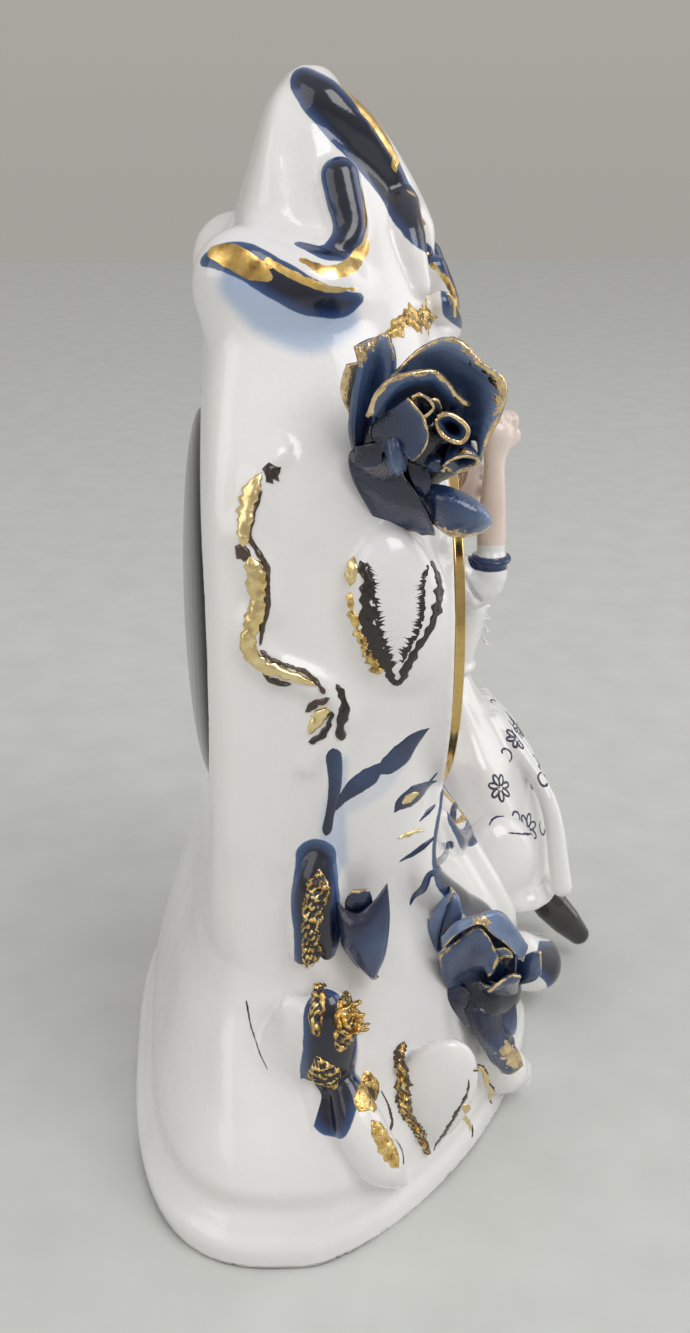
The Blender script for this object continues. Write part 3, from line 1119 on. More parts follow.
upperPetals = [
    # broad petal behind, upper right
    dict(tone=0.18, gilt=0.25, lip=0.9, ruffle=0.25, crust=([(800, 190, 15), (900, 300, 16), (1040, 420, 15),
         (1100, 460, 15), (1075, 620, 14)], [0.8, 1.5, 2.2, 2.2, 0.7]), rows=[
        [(610, 600, 3), (660, 620, 3), (740, 700, 3), (780, 820, 4)], [(500, 430, 7), (680, 350, 5),
         (880, 500, 4), (880, 800, 6)], [(455, 350, 10), (660, 230, 9), (960, 400, 8), (960, 800, 9)],
        [(420, 395, 11), (560, 235, 13), (760, 150, 15), (930, 280, 16), (1115, 440, 15), (1060, 660, 14),
         (955, 925, 11)]]),
    # inner petal with the bright arched rim
    dict(tone=0.05, gilt=0.5, lip=1.6, ruffle=0.12, rows=[
        [(420, 720, 4), (560, 650, 3), (700, 620, 3), (800, 680, 4)], [(330, 640, 9), (470, 520, 7),
         (640, 480, 6), (800, 590, 8)], [(280, 650, 12), (320, 520, 15), (400, 430, 17), (540, 382, 17),
         (665, 372, 16), (700, 400, 15), (780, 500, 14), (885, 595, 13)]]),
    # curl left of the middle, its rim turned to the right
    dict(tone=-0.02, gilt=0.38, lip=-1, ruffle=0.15, phase=1, rows=[
        [(330, 620, 8), (280, 720, 7), (330, 860, 7)], [(430, 560, 13), (440, 690, 13), (440, 830, 11)],
        [(520, 490, 17), (600, 590, 18), (645, 690, 18), (650, 770, 17), (622, 850, 16), (565, 905, 14)]]),
    # small lit tube in the heart
    dict(tone=0, gilt=1.2, thickness=0.8, crust=([(570, 520, 18), (590, 600, 16)], [1.6, 1.6]), rows=[
        [(600, 640, 9), (640, 650, 9), (650, 680, 9), (610, 690, 9)], [(540, 560, 15), (600, 520, 15),
         (660, 560, 15), (620, 630, 15)], [(525, 495, 18), (580, 480, 18.5), (640, 520, 18), (665, 580, 17),
         (600, 640, 17)]]),
    dict(tone=0.1, gilt=0.7, thickness=0.8, rows=[
        [(650, 640, 9), (680, 630, 9), (700, 650, 9)], [(640, 560, 14), (690, 560, 14), (720, 600, 14)],
        [(650, 510, 16), (700, 520, 16), (720, 560, 15)]]),
    # round curl right of the middle, open towards the side
    dict(tone=0.02, gilt=0.55, lip=0.5, closed=True, rows=[
        [(770, 690, 7), (800, 680, 7), (830, 700, 7), (810, 725, 7), (775, 715, 7), (770, 690, 7)],
        [(720, 660, 13), (790, 650, 13), (850, 700, 13), (840, 760, 13), (760, 745, 13), (720, 660, 13)],
        [(692, 640, 17), (765, 622, 17), (850, 675, 17), (888, 735, 16.5), (850, 792, 16.5), (765, 762, 17),
         (705, 700, 17), (692, 640, 17)]]),
    # lip that opens downwards
    dict(tone=0.02, gilt=0.35, lip=0.6, closed=True, crust=([(870, 870, 15), (890, 890, 15)],
         [1.5, 1.2]), rows=[
        [(800, 800, 8), (880, 790, 8), (930, 850, 8), (860, 860, 6), (800, 800, 8)],
        [(770, 880, 12), (880, 850, 14), (950, 900, 12), (860, 930, 9), (770, 880, 12)],
        [(748, 975, 13), (800, 930, 15), (880, 905, 16), (955, 930, 14), (900, 975, 11), (820, 1000, 11),
         (748, 975, 13)]]),
    dict(tone=-0.02, gilt=0.15, lip=0.6, rows=[
        [(620, 830, 7), (700, 860, 7), (760, 900, 7)], [(630, 930, 11), (700, 920, 12), (760, 950, 11)],
        [(620, 985, 11), (690, 1000, 12), (750, 985, 12)]]),
    # broad grey-blue petal, lower left
    dict(tone=-0.12, gilt=0.17, lip=-0.8, ruffle=0.2, phase=2, rows=[
        [(250, 840, 3), (380, 830, 6), (520, 860, 7)], [(140, 860, 3), (310, 980, 8), (480, 990, 11)],
        [(160, 1020, 4), (350, 1110, 9), (560, 1120, 12)], [(255, 1205, 4), (420, 1240, 7), (642, 1255, 11)],
        [(330, 1312, 2), (470, 1350, 3), (600, 1385, 4), (705, 1402, 5)]]),
    # petal between it and the tongue
    dict(tone=-0.08, gilt=0.1, rows=[
        [(500, 880, 8), (600, 900, 8)], [(520, 1010, 9), (650, 1010, 9)], [(560, 1100, 9), (660, 1110, 9)],
        [(600, 1170, 8), (650, 1160, 8)]]),
    # tongue towards the lower right
    dict(tone=0.2, gilt=0.12, lip=0.6, crust=([(700, 1360, 8), (820, 1430, 9), (950, 1440, 9),
         (1070, 1380, 10)], [1, 2.4, 2.6, 1.6]), rows=[
        [(600, 1100, 5), (620, 1180, 7), (640, 1290, 4)], [(700, 1085, 8), (720, 1190, 12), (690, 1340, 7)],
        [(850, 1125, 10), (860, 1250, 14), (790, 1425, 8)], [(1000, 1215, 11), (990, 1320, 14),
         (900, 1445, 8)], [(1065, 1290, 10), (1082, 1350, 11), (1040, 1410, 9)]]),
    # tall folded leaf at the left, trough towards the viewer
    dict(tone=0.04, gilt=0.2, lip=1, thickness=1.3, crust=([(180, 240, 11), (230, 150, 11), (270, 160, 9)],
         [2, 2.8, 1.6]), rows=[
        [(160, 860, 2), (230, 840, 1), (300, 780, 3)], [(145, 700, 6), (230, 660, 2), (320, 560, 7)],
        [(170, 500, 9), (260, 470, 3), (385, 430, 9)], [(215, 290, 11), (290, 300, 5), (402, 280, 10)],
        [(190, 170, 11), (260, 140, 8), (345, 105, 11), (385, 170, 11)]]),
    # gilt leaf behind it
    dict(tone=-0.1, gilt=0.3, lip=0.8, crust=([(120, 540, 4), (120, 440, 5), (150, 330, 6)],
         [2.2, 3, 2.4]), rows=[
        [(140, 630, 2), (200, 590, 2)], [(85, 500, 4), (190, 470, 3)], [(85, 400, 5), (200, 370, 4)],
        [(125, 300, 6), (205, 280, 5)]]),
    # short roll below it
    dict(tone=0.22, gilt=0.075, lip=0.5, rows=[
        [(350, 780, 8), (430, 765, 12), (500, 790, 9)], [(370, 870, 9), (435, 850, 13.5), (505, 880, 10)],
        [(385, 990, 8), (445, 1010, 11), (500, 990, 9)]]),
    dict(tone=-0.15, gilt=0.05, lip=0.4, rows=[
        [(180, 820, 4), (260, 800, 7), (350, 790, 8)], [(175, 930, 5), (260, 920, 7), (350, 950, 8)],
        [(230, 1000, 5), (320, 1000, 7), (400, 1010, 8)]]),
]
upperMounds = [
    ((600, 760, 2), (9, 9, 10)), ((480, 820, 2), (6, 6, 8)), ((720, 860, 1.5), (7, 7, 7)),
    ((320, 760, 1), (5, 5, 8)), ((560, 1000, 1), (6, 6, 7)), ((640, 560, 1), (6, 7, 7)),
]

lowerPetals = [
    # broad petal that arches over the top
    dict(tone=0.12, gilt=0.17, lip=0.5, crust=([(490, 300, 24), (530, 330, 24)], [1.6, 1.2]), rows=[
        [(330, 620, 6), (480, 560, 5), (640, 620, 5), (760, 700, 6)], [(290, 480, 14), (440, 380, 14),
         (600, 400, 12), (760, 560, 12)], [(270, 420, 19), (350, 330, 21), (480, 290, 22), (610, 270, 21),
         (710, 370, 19), (800, 500, 17)], [(275, 480, 21), (360, 390, 23), (490, 335, 24), (570, 400, 23),
         (660, 470, 21), (775, 590, 18)]]),
    # purple-grey cup inside it
    dict(tone=-0.05, gilt=0.23, lip=0.9, ruffle=0.1, rows=[
        [(380, 850, 8), (470, 850, 7), (540, 800, 7)], [(280, 700, 14), (400, 640, 13), (540, 650, 12)],
        [(250, 560, 18), (340, 470, 19), (430, 400, 21), (500, 370, 22), (560, 450, 22), (600, 560, 21),
         (580, 640, 20), (550, 680, 18)]]),
    dict(tone=0.05, gilt=0.3, crust=([(650, 600, 19), (690, 570, 19)], [1.8, 1.6]), rows=[
        [(560, 700, 12), (640, 720, 12)], [(600, 560, 17), (690, 590, 17)], [(610, 500, 20), (680, 500, 20),
         (720, 560, 19)]]),
    # lower lip
    dict(tone=-0.08, gilt=0.3, lip=1, rows=[
        [(560, 850, 9), (660, 840, 9), (760, 800, 9)], [(560, 790, 15), (660, 760, 16), (770, 740, 15)],
        [(585, 800, 19), (650, 745, 20), (720, 702, 20), (785, 712, 18)]]),
    # layered petals standing at the left
    dict(tone=0, gilt=0.23, lip=0.6, ruffle=0.15, rows=[
        [(150, 780, 2), (200, 760, 3)], [(95, 500, 4), (170, 460, 6)], [(100, 260, 6), (200, 190, 8)],
        [(200, 130, 7), (260, 110, 9)]]),
    dict(tone=0.12, gilt=0.25, lip=0.8, ruffle=0.15, phase=2, rows=[
        [(180, 780, 5), (250, 740, 7)], [(150, 520, 8), (240, 450, 11)], [(170, 330, 10), (270, 260, 13)],
        [(250, 170, 11), (320, 120, 12)]]),
    dict(tone=-0.02, gilt=0.2, lip=0.6, phase=4, rows=[
        [(240, 520, 9), (330, 420, 12)], [(250, 330, 11), (380, 300, 14)], [(290, 160, 11), (380, 230, 13)],
        [(310, 100, 10), (360, 150, 11)]]),
    # broad purple-grey petal, lower left
    dict(tone=-0.1, gilt=0.15, lip=0.9, ruffle=0.25, phase=1, rows=[
        [(330, 720, 10), (430, 760, 12), (480, 820, 10)], [(210, 740, 8), (330, 820, 12), (440, 880, 12)],
        [(140, 775, 5), (150, 880, 6), (225, 975, 7), (330, 1035, 7), (460, 1040, 6), (520, 1010, 6)]]),
    # long blades towards the foot
    dict(tone=-0.05, gilt=0.4, lip=-0.7, crust=([(690, 1170, 12), (790, 1270, 9)], [2.2, 3.2]), rows=[
        [(420, 850, 9), (520, 830, 10), (620, 880, 9)], [(430, 930, 12), (540, 930, 14), (650, 960, 11)],
        [(520, 1100, 12), (590, 1090, 14), (690, 1090, 11)], [(600, 1210, 10), (680, 1200, 12),
         (780, 1200, 9)], [(690, 1330, 7), (750, 1340, 8), (815, 1290, 7)]]),
    dict(tone=0.05, gilt=0.2, lip=0.7, phase=3, rows=[
        [(640, 820, 8), (720, 800, 8)], [(640, 960, 9), (760, 900, 8)], [(660, 1060, 8), (775, 1020, 7)],
        [(730, 1130, 6), (770, 1090, 6)]]),
    dict(tone=-0.2, gilt=0.1, lip=0.4, rows=[
        [(560, 1150, 5), (620, 1170, 6)], [(620, 1270, 4), (720, 1280, 6)], [(720, 1350, 4),
         (770, 1345, 5)]]),
    # petals on the hidden side
    dict(tone=0.05, gilt=0.25, lip=1, ruffle=0.2, rows=[
        [(700, 640, 6), (760, 760, 6)], [(820, 560, 10), (860, 740, 10)], [(900, 560, 12), (920, 700, 11)]]),
]
lowerMounds = [
    ((520, 780, 4), (10, 9, 9)), ((400, 700, 4), (7, 6, 8)), ((640, 780, 3), (7, 7, 8)),
    ((300, 560, 2), (6, 5, 9)), ((560, 960, 3), (6, 6, 6)), ((660, 1150, 1), (5, 5, 5)),
]

sprigPetals = [
    dict(tone=0.12, gilt=0.3, lip=1.4, thickness=1.3, rows=[
        [(338, 901, 2), (350, 912, 4), (364, 912, 5), (387, 886, 4)], [(341, 925, 4), (352, 926, 7),
         (366, 924, 7), (389, 915, 5)], [(346, 948, 4), (356, 947, 7), (370, 945, 7), (388, 945, 5)],
        [(358, 968, 3), (366, 966, 5), (376, 965, 5), (385, 964, 4)], [(372, 980, 2), (375, 984, 3),
         (379, 978, 3)]]),
    dict(tone=-0.1, gilt=0.2, lip=0.7, rows=[
        [(352, 930, 2), (375, 925, 3)], [(345, 905, 3), (372, 900, 4)], [(352, 892, 4), (368, 893, 5)]]),
]
sprigMounds = [((362, 936, 1), (3.5, 6, 7)), ((368, 955, 1), (3, 4.5, 5))]

makeFlower("rose_by_the_dial", "upper", upperPetals, upperMounds, "rose_upper")
makeFlower("rose_at_the_foot", "lower", lowerPetals, lowerMounds, "rose_lower")
makeFlower("sprig_on_the_wall", "sprig", sprigPetals, sprigMounds, "leaf_sprig")
print("flowers built:", len(upperPetals) + len(lowerPetals) + len(sprigPetals), "petals")


# the seated lady, from several moulds; rows are [height, front, back, half width]

figureForm = {
    "x": 46,
    "skirt": [(115, -34.5, -21.5, 8), (106, -38.5, -18, 13), (98, -46, -15, 22), (89, -53, -13, 29),
        (75, -60.5, -14, 34.5), (59, -65, -20, 38), (45, -66, -25, 39), (43, -66, -25, 39)],
    "petticoat": [(46, -67.5, -27, 38), (44.7, -69, -27, 39.5), (42, -70.5, -26, 41.5),
        (38, -69.5, -28, 40), (37, -65, -32, 35)],
    "torso": [(112, -35.5, -21.5, 8), (125, -39, -20, 11), (137, -41.5, -19, 13), (147, -38.5, -19, 14),
        (153, -34, -20, 14.5), (157, -32.5, -21.5, 11), (161, -31.5, -22.5, 4.6), (173, -31.5, -22.5, 4.3)],
    "head": (46, -28.5, 182.5), "headHeight": 27,
}


# solid that follows rows of ovals up the height, with folds round its side
def rowsField(clay, rows, folds=()):
    rows = np.array(sorted(rows), dtype=np.float64)
    x, y, z = clay.whole()
    level = np.clip(z.ravel(), rows[0, 0], rows[-1, 0])
    front, back, half = (np.interp(level, rows[:, 0], rows[:, k]).reshape(1, 1, -1) for k in (1, 2, 3))
    kernel = np.ones(5) / 5
    front, back, half = (np.convolve(np.pad(v.ravel(), 2, "edge"), kernel, "valid").reshape(1, 1, -1)
                         for v in (front, back, half))
    px, py = x - figureForm["x"], y - (front + back) / 2
    deep = (back - front) / 2
    angle = np.arctan2(py / deep, px / half)
    swell = 1.0
    for count, depth, low, high, phase in folds:
        strength = np.clip((high - z) / (high - low), 0, 1)
        swell = swell + depth * np.cos(count * angle + phase + 0.5 * np.sin(z * 0.09)) * strength
    gauge = np.sqrt((px / half) ** 2 + (py / deep) ** 2) / swell
    gx, gy, gz = np.gradient(gauge, clay.step)
    steep = np.sqrt(gx * gx + gy * gy + gz * gz) + 1e-3
    side = (gauge - 1) / steep
    return np.maximum(side, np.maximum(rows[0, 0] - z, z - rows[-1, 0]))


def finishClay(clay, name, material, node, slot, share):
    points, faces = clay.skin()
    piece = newPiece(name, points, faces, material, slot, node)
    thinned(piece, share)
    return piece


def makeSkirt():
    clay = Clay([2, -74, 40], [90, -8, 119], 0.8)
    field = rowsField(clay, figureForm["skirt"], [(9, 0.035, 118, 45, 0.6), (5, 0.03, 118, 60, 2.0)])
    clay.press(clay.everything, field, 0.0)
    # long soft folds that run from the lap to the hem
    for x, lean in ((18, -9), (33, -4), (52, 3), (66, 8), (78, 12)):
        clay.strand([(x * 0.4 + 28, -44, 100), (x, -59, 76), (x + lean, -63.5, 47)], [1.0, 3.0, 3.6], 5)
    finishClay(clay, "patterned_skirt", plainPorcelain, "figure_skirt", "white_porcelain", 0.8)
    return clay


def makePetticoat():
    clay = Clay([-3, -76, 32], [91, -20, 76], 0.8)
    field = rowsField(clay, figureForm["petticoat"], [(22, 0.02, 52, 37, 0.0)])
    clay.press(clay.everything, field, 0.0)
    clay.ball((13, -42, 57), (10, 14, 17), 3, (-20, 0, 18))
    clay.ball((40, -63.5, 48), (16, 7.5, 12), 3)
    # creases of the turned-up hem
    clay.strand([(1.5, -40, 71), (1.0, -44, 62), (3, -50, 50)], [0.6, 1.2, 0.8], 1.5, carved=True)
    clay.strand([(4, -34, 70), (3, -36, 60), (3, -42, 47)], [0.5, 1.0, 0.7], 1.5, carved=True)
    for x in range(12, 86, 9):
        clay.strand([(x, -74, 45), (x + 1.5, -73, 36)], [0.8, 1.6], 2.0, carved=True)
    finishClay(clay, "white_petticoat", plainPorcelain, "figure_petticoat", "white_porcelain", 0.9)
    return clay


def makeTorso():
    clay = Clay([26, -46, 110], [66, -14, 176], 0.6)
    clay.press(clay.everything, rowsField(clay, figureForm["torso"]), 0.0)
    # neckline frill, lacing and waist
    ring = [(46 + 12.5 * cos(a), -28.5 - 6.5 * sin(a), 154 + 2.2 * cos(2 * a) - 2.0 * sin(a))
            for a in np.linspace(0, 2 * pi, 25)]
    clay.strand(ring, [1.3, 1.7, 1.3, 1.7, 1.3, 1.7, 1.3], 1.0, steps=60)
    clay.strand([(46, -41.5, 146), (46, -42, 136), (46, -39.8, 122)], [0.7, 1.0, 0.7], 1.2, carved=True)
    for k in range(5):
        z = 142 - 4.6 * k
        clay.strand([(42.5, -41.3 + 0.12 * k, z), (46, -42.2, z - 1.2), (49.5, -41.3 + 0.12 * k, z)],
                    [0.6, 0.7, 0.6], 0.4)
    clay.strand(ringPath((46, -28.7, 116), 9.2, -7.9, 17), [1.5], 1.0, steps=48)
    return finishClay(clay, "bodice", plainPorcelain, "figure_torso", "white_porcelain", 0.8)


def makeHead():
    x0, y0, z0 = figureForm["head"]
    half = figureForm["headHeight"] / 2
    wide, deep = half * 0.68, half * 0.8
    clay = Clay([x0 - 14, y0 - 17, z0 - 17], [x0 + 14, y0 + 14, z0 + 17], 0.4)
    clay.ball((x0, y0 + 1.0, z0 + 2.5), (wide, deep, half * 0.8), 0)
    clay.ball((x0, y0 - 2.4, z0 - 5.0), (wide * 0.74, deep * 0.7, half * 0.6), 4, (14, 0, 0))
    clay.ball((x0, y0 - 7.8, z0 - 10.8), (2.6, 2.0, 1.9), 2.5)
    face = y0 - deep
    for side in (-1, 1):
        clay.ball((x0 + side * 3.9, face - 0.5, z0 + 0.6), (2.7, 1.8, 1.7), 1.5, carved=True)
        clay.ball((x0 + side * 3.9, face + 1.7, z0 + 0.4), (2.0, 1.3, 1.35), 0.5)
        clay.strand([(x0 + side * 2.0, face + 0.3, z0 + 2.8), (x0 + side * 4.2, face + 0.5, z0 + 3.4),
                     (x0 + side * 6.4, face + 2.4, z0 + 2.4)], [0.5, 0.7, 0.4], 1.0)
        clay.ball((x0 + side * 4.6, face + 1.6, z0 - 4.2), (2.6, 1.6, 2.2), 2.0)
        clay.ball((x0 + side * (wide - 0.4), y0 + 1.0, z0 - 0.6), (1.0, 1.7, 2.8), 0.6, (12, 0, 0))
    clay.strand([(x0, face + 0.2, z0 + 2.2), (x0, face - 0.9, z0 - 0.6), (x0, face - 2.1, z0 - 3.2)],
                [0.8, 1.0, 1.35], 1.2)
    clay.ball((x0 - 0.9, face - 0.6, z0 - 3.4), (0.8, 1.0, 0.7), 0.6)
    clay.ball((x0 + 0.9, face - 0.6, z0 - 3.4), (0.8, 1.0, 0.7), 0.6)
    clay.strand([(x0 - 2.3, face + 0.1, z0 - 6.5), (x0, face - 0.9, z0 - 6.2),
                 (x0 + 2.3, face + 0.1, z0 - 6.5)],
                [0.4, 0.75, 0.4], 0.8)
    clay.strand([(x0 - 1.9, face + 0.4, z0 - 7.5), (x0, face - 0.5, z0 - 7.8),
                 (x0 + 1.9, face + 0.4, z0 - 7.5)],
                [0.4, 0.85, 0.4], 0.8)
    piece = newPiece("calm_head", *clay.skin(), fleshPaint, "flesh_glaze", "figure_head")
    places = placesOf(piece)
    ahead = places[:, 1] < y0 - 3
    level = z0 + 0.4
    tone = np.full(len(places), -9.0)
    red = tone.copy()
    white = tone.copy()
    for side in (-1, 1):
        eye = x0 + side * 3.9
        white = np.maximum(white, inStroke(places, [(eye - 1.5, face + 0.5, level),
                                                    (eye + 1.5, face + 0.5, level)], [0.75]))
        tone = np.maximum(tone, inStroke(places, [(eye, face + 0.4, level), (eye + 0.01, face + 0.4, level)],
                                         [0.72]))
        lid = [(eye - side * 1.9, face + 0.6, level + 0.3), (eye, face + 0.2, level + 1.25),
               (eye + side * 2.2, face + 1.0, level + 0.3)]
        tone = np.maximum(tone, inStroke(places, lid, [0.22, 0.34, 0.22]))
        brow = [(eye - side * 1.8, face, level + 2.7), (eye + side * 0.3, face - 0.1, level + 3.4),
                (eye + side * 2.6, face + 1.4, level + 2.6)]
        tone = np.maximum(tone, inStroke(places, brow, [0.25, 0.4, 0.2]))
    lips = [(x0 - 2.3, face, z0 - 6.9), (x0, face - 1.0, z0 - 6.9), (x0 + 2.3, face, z0 - 6.9)]
    red = np.maximum(red, inStroke(places, lips, [0.5, 1.15, 0.5]))
    setMask(piece, "ink", np.where(ahead, tone, -9))
    setMask(piece, "rouge", np.where(ahead, red, -9))
    setMask(piece, "eyewhite", np.where(ahead, white, -9))


def makeHair():
    x0 = figureForm["x"]
    clay = Clay([x0 - 18, -46, 160], [x0 + 18, -6, 206], 0.5)
    clay.ball((x0, -24.5, 185.8), (11.4, 11.2, 12.4), 0)
    clay.ball((x0, -18.4, 195.3), (6.8, 6.8, 5.8), 2)
    # locks swept back from the parting to the bun
    for side in (-1, 1):
        for k in range(8):
            share = k / 7
            start = (x0 + side * (0.8 + 9.6 * share), -33.8 + 7.5 * share ** 1.5, 195.6 - 10.5 * share ** 1.3)
            mid = (x0 + side * (5.0 + 6.5 * share), -26 + 1.5 * share, 197.5 - 9 * share)
            end = (x0 + side * (2.5 + 3 * share), -15.5, 193 - 6 * share)
            clay.strand([start, mid, end], [0.9, 1.7, 1.2], 0.5)
        clay.strand([(x0 + side * 9.6, -29, 184), (x0 + side * 11.4, -27, 178), (x0 + side * 9.8, -27.5, 171),
                     (x0 + side * 11.2, -26, 164.5)], [1.4, 2.2, 1.9, 1.0], 0.6)
        clay.strand([(x0 + side * 9.2, -25, 182), (x0 + side * 10.4, -23, 175),
                     (x0 + side * 8.8, -22.5, 167)],
                    [1.5, 2.0, 1.1], 0.6)
    for k in range(9):
        turn = k / 9 * 2 * pi
        clay.strand([(x0 + 5.6 * cos(turn), -18.4 + 5.6 * sin(turn), 193.5),
                     (x0 + 3.6 * cos(turn + 0.8), -18.4 + 3.6 * sin(turn + 0.8), 199.3),
                     (x0 + 0.8 * cos(turn + 1.6), -18.4 + 0.8 * sin(turn + 1.6), 200.6)], [1.3, 1.1,
                                                                                           0.5], 0.3)
    # open in front for the face
    clay.ball((x0, -36.5, 180.5), (8.6, 7.5, 12.2), 0.8, carved=True)
    return finishClay(clay, "swept_hair", hairGlaze, "figure_hair", "hair_glaze", 0.9)


def pressHand(clay, wrist, tip, palmRadius, spread, fist):
    wrist, tip = np.array(wrist, float), np.array(tip, float)
    along = (tip - wrist) / np.linalg.norm(tip - wrist)
    across = np.array(spread, float)
    across -= (across @ along) * along
    across /= np.linalg.norm(across)
    through = np.cross(along, across)
    middle = wrist + along * np.linalg.norm(tip - wrist) * 0.45
    clay.strand([wrist, middle], [palmRadius * 0.62, palmRadius * 0.85], 1.2, squeeze=(through, 0.75))
    for k in range(4):
        sideways = across * palmRadius * (0.5 * k - 0.75)
        start = middle + sideways
        if fist:
            bend = start + along * palmRadius * 0.9
            clay.strand([start, bend, bend + through * palmRadius * 0.8, start + through * palmRadius * 1.05],
                        [palmRadius * 0.26, palmRadius * 0.28, palmRadius * 0.25, palmRadius * 0.2], 0.25)
        else:
            clay.strand([start, start + along * palmRadius * 0.9 + through * 0.3,
                         start + along * palmRadius * 1.7 + through],
                        [palmRadius * 0.26, palmRadius * 0.23, palmRadius * 0.16], 0.25)
    thumb = middle - along * palmRadius * 0.4 + across * palmRadius * 0.8
    clay.strand([thumb, thumb + across * palmRadius * 0.3 + along * palmRadius * 0.5,
                 thumb + along * palmRadius * 1.1 + through * palmRadius * 0.5],
                [palmRadius * 0.26, palmRadius * 0.26, palmRadius * 0.18], 0.4)


# each arm: its clay's box, sleeve, cuff ring, forearm, hand, sleeve folds and the painted cloth
armForms = {
    "raised": {
        "box": ((18, -54, 134), (44, -16, 212)),
        "sleeve": [([(32.5, -28, 152), (28, -31.5, 147), (27.5, -37.5, 151.5)], [6.2, 6.4, 5.6], 1)],
        "swells": [((31, -29, 152), (7.5, 7.8, 7.2), 2), ((27.8, -36.5, 150), (6, 6.4, 6.6), 1.5)],
        "wrist": ([(27.6, -38.2, 153.5), (28, -38.8, 157.5)], [6, 5.2], 0.8),
        "cuff": ((28.1, -38.8, 158.6), 0.7), "cuffPaint": ((28.1, -38.8, 157.6), 2.2),
        "forearm": ([(28.2, -38.6, 155), (29.3, -38.9, 165), (30.2, -39.2, 178), (31, -39.5, 192)],
                    [4.2, 4.8, 4.1, 3]),
        "hand": ((31, -39.5, 191), (31.2, -42, 207), 6.2, (0.45, -0.9, 0), True),
        "folds": (0.5, (31, -29, 155), 6.5, (28, -35, 146), 6),
        "cloth": [([(32.5, -28, 152), (28, -31.5, 147), (27.6, -38, 152.5)], [9, 9, 7.5]),
                  ([(27.6, -38, 152), (28, -38.8, 157.6)], [7.6, 7])]},
    "resting": {
        "box": ((52, -44, 88), (80, -14, 164)),
        "sleeve": [], "swells": [((61, -27, 151), (7.2, 7.6, 7.4), 1)],
        "wrist": ([(60, -27, 151), (66, -26, 140), (69.5, -26, 130)], [6.6, 6.2, 5.8], 1),
        "cuff": ((70, -26.3, 128), 1), "cuffPaint": ((70, -26.3, 128), 2),
        "forearm": ([(70, -26, 131), (71, -27.5, 122), (72, -29, 115), (72, -32, 104.5)], [4, 4.2, 3.4, 2.7]),
        "hand": ((72, -32.5, 105.5), (70, -39.5, 94), 5, (1, 0, 0), False),
        "folds": (0.3, (61, -27, 152), 6.2, (68, -26, 134), 5.6),
        "cloth": [([(60, -27, 151), (66, -26, 140), (70, -26.2, 130)], [9.5, 8, 7]),
                  ([(69, -26, 131), (70, -26.3, 128.5)], [7.2, 7])]},
    "cuffRadius": 5.6,
}


def makeArm(name):
    f, across = armForms[name], armForms["cuffRadius"]
    clay = Clay(*f["box"], 0.5)
    for stroke in f["sleeve"]:
        clay.strand(*stroke)
    for swell in f["swells"]:
        clay.ball(*swell)
    clay.strand(*f["wrist"])
    clay.strand(ringPath(f["cuff"][0], across, across, 17, f["cuff"][1]), [1.0], 0.5, steps=40)
    clay.strand(*f["forearm"], 0.6)
    pressHand(clay, *f["hand"])
    start, (x, y, z), far, (x2, y2, z2), near = f["folds"]
    for k in range(5):
        turn = start + k * 1.25
        high = (x + far * cos(turn), y + far * sin(turn), z)
        low = (x2 + near * cos(turn), y2 + near * sin(turn), z2)
        clay.strand([high, low], [0.5, 0.8], 1.2, carved=True)
    piece = finishClay(clay, name + "_arm", armPaint, "figure_" + name + "_arm", "flesh_glaze", 0.9)
    points = placesOf(piece)
    centre, width = f["cuffPaint"]
    setMask(piece, "cloth", np.maximum(*[inStroke(points, path, widths) for path, widths in f["cloth"]]))
    setMask(piece, "cuff", inStroke(points, ringPath(centre, across, across, 17), [width]))


shoeForm = {
    "left": (39, -81, 9, 0.86), "right": (55, -76, 11, 0.8), "length": 30,
    "radii": (4, 5.6, 6.2, 5.4, 3.6),
}


def makeShoe(side):
    x, toeY, toeZ, drop = shoeForm[side]
    s = shoeForm
    away = np.array([0, cos(drop), sin(drop)])
    toe = np.array([x, toeY + 2.6, toeZ + 1.4])
    heel = toe + away * s["length"]
    clay = Clay(np.minimum(toe, heel) - 12, np.maximum(toe, heel) + 12, 0.45)
    clay.strand([toe + away * s["length"] * t for t in (0, 0.28, 0.55, 0.8, 1.0)], s["radii"], 0.5,
                squeeze=((1, 0, 0), 0.86))
    sole = np.array([0, -sin(drop), cos(drop)]) * -1
    clay.strand([toe + sole * 2.2 + away * 1, toe + sole * 4.4 + away * 12, toe + sole * 4.0 + away * 24],
                [1.0, 1.3, 1.0], 0.8,
                squeeze=(sole, 0.6))
    clay.ball(toe + away * 17 - sole * 5.4, (1.8, 1.4, 1.4), 0.8)
    newPiece(side + "_slipper", *clay.skin(), blackGlaze, "black_glaze", "figure_shoe_" + side)


skirtClay = makeSkirt()
petticoatClay = makePetticoat()
makeTorso()
makeHead()
makeHair()
makeArm("raised")
makeArm("resting")
makeShoe("left")
makeShoe("right")
print("figure pressed")


# raised gilding and brushwork, laid on the wall where the side view shows it
# places are [across, down, width] in the 690 x 1333 view, the width in millimetres

viewpoint = {"place": (-0.438, 0.0515, 0.2927), "turn": 5.2, "tilt": 20.0, "lens": 40.5}
view = {"across": 345.0, "down": 666.5, "reach": 1333 * viewpoint["lens"] / 36, "start": 300.0, "end": 560.0}


def sightAhead():
    turn, tilt = radians(viewpoint["turn"]), radians(viewpoint["tilt"])
    return np.array([cos(turn) * cos(tilt), -sin(turn) * cos(tilt), -sin(tilt)])


def sightLine(across, down):
    ahead, turn = sightAhead(), radians(viewpoint["turn"])
    right = np.array([-sin(turn), -cos(turn), 0.0])
    offset = right * (across - view["across"]) - np.cross(right, ahead) * (down - view["down"])
    line = ahead + offset / view["reach"]
    return line / np.linalg.norm(line)


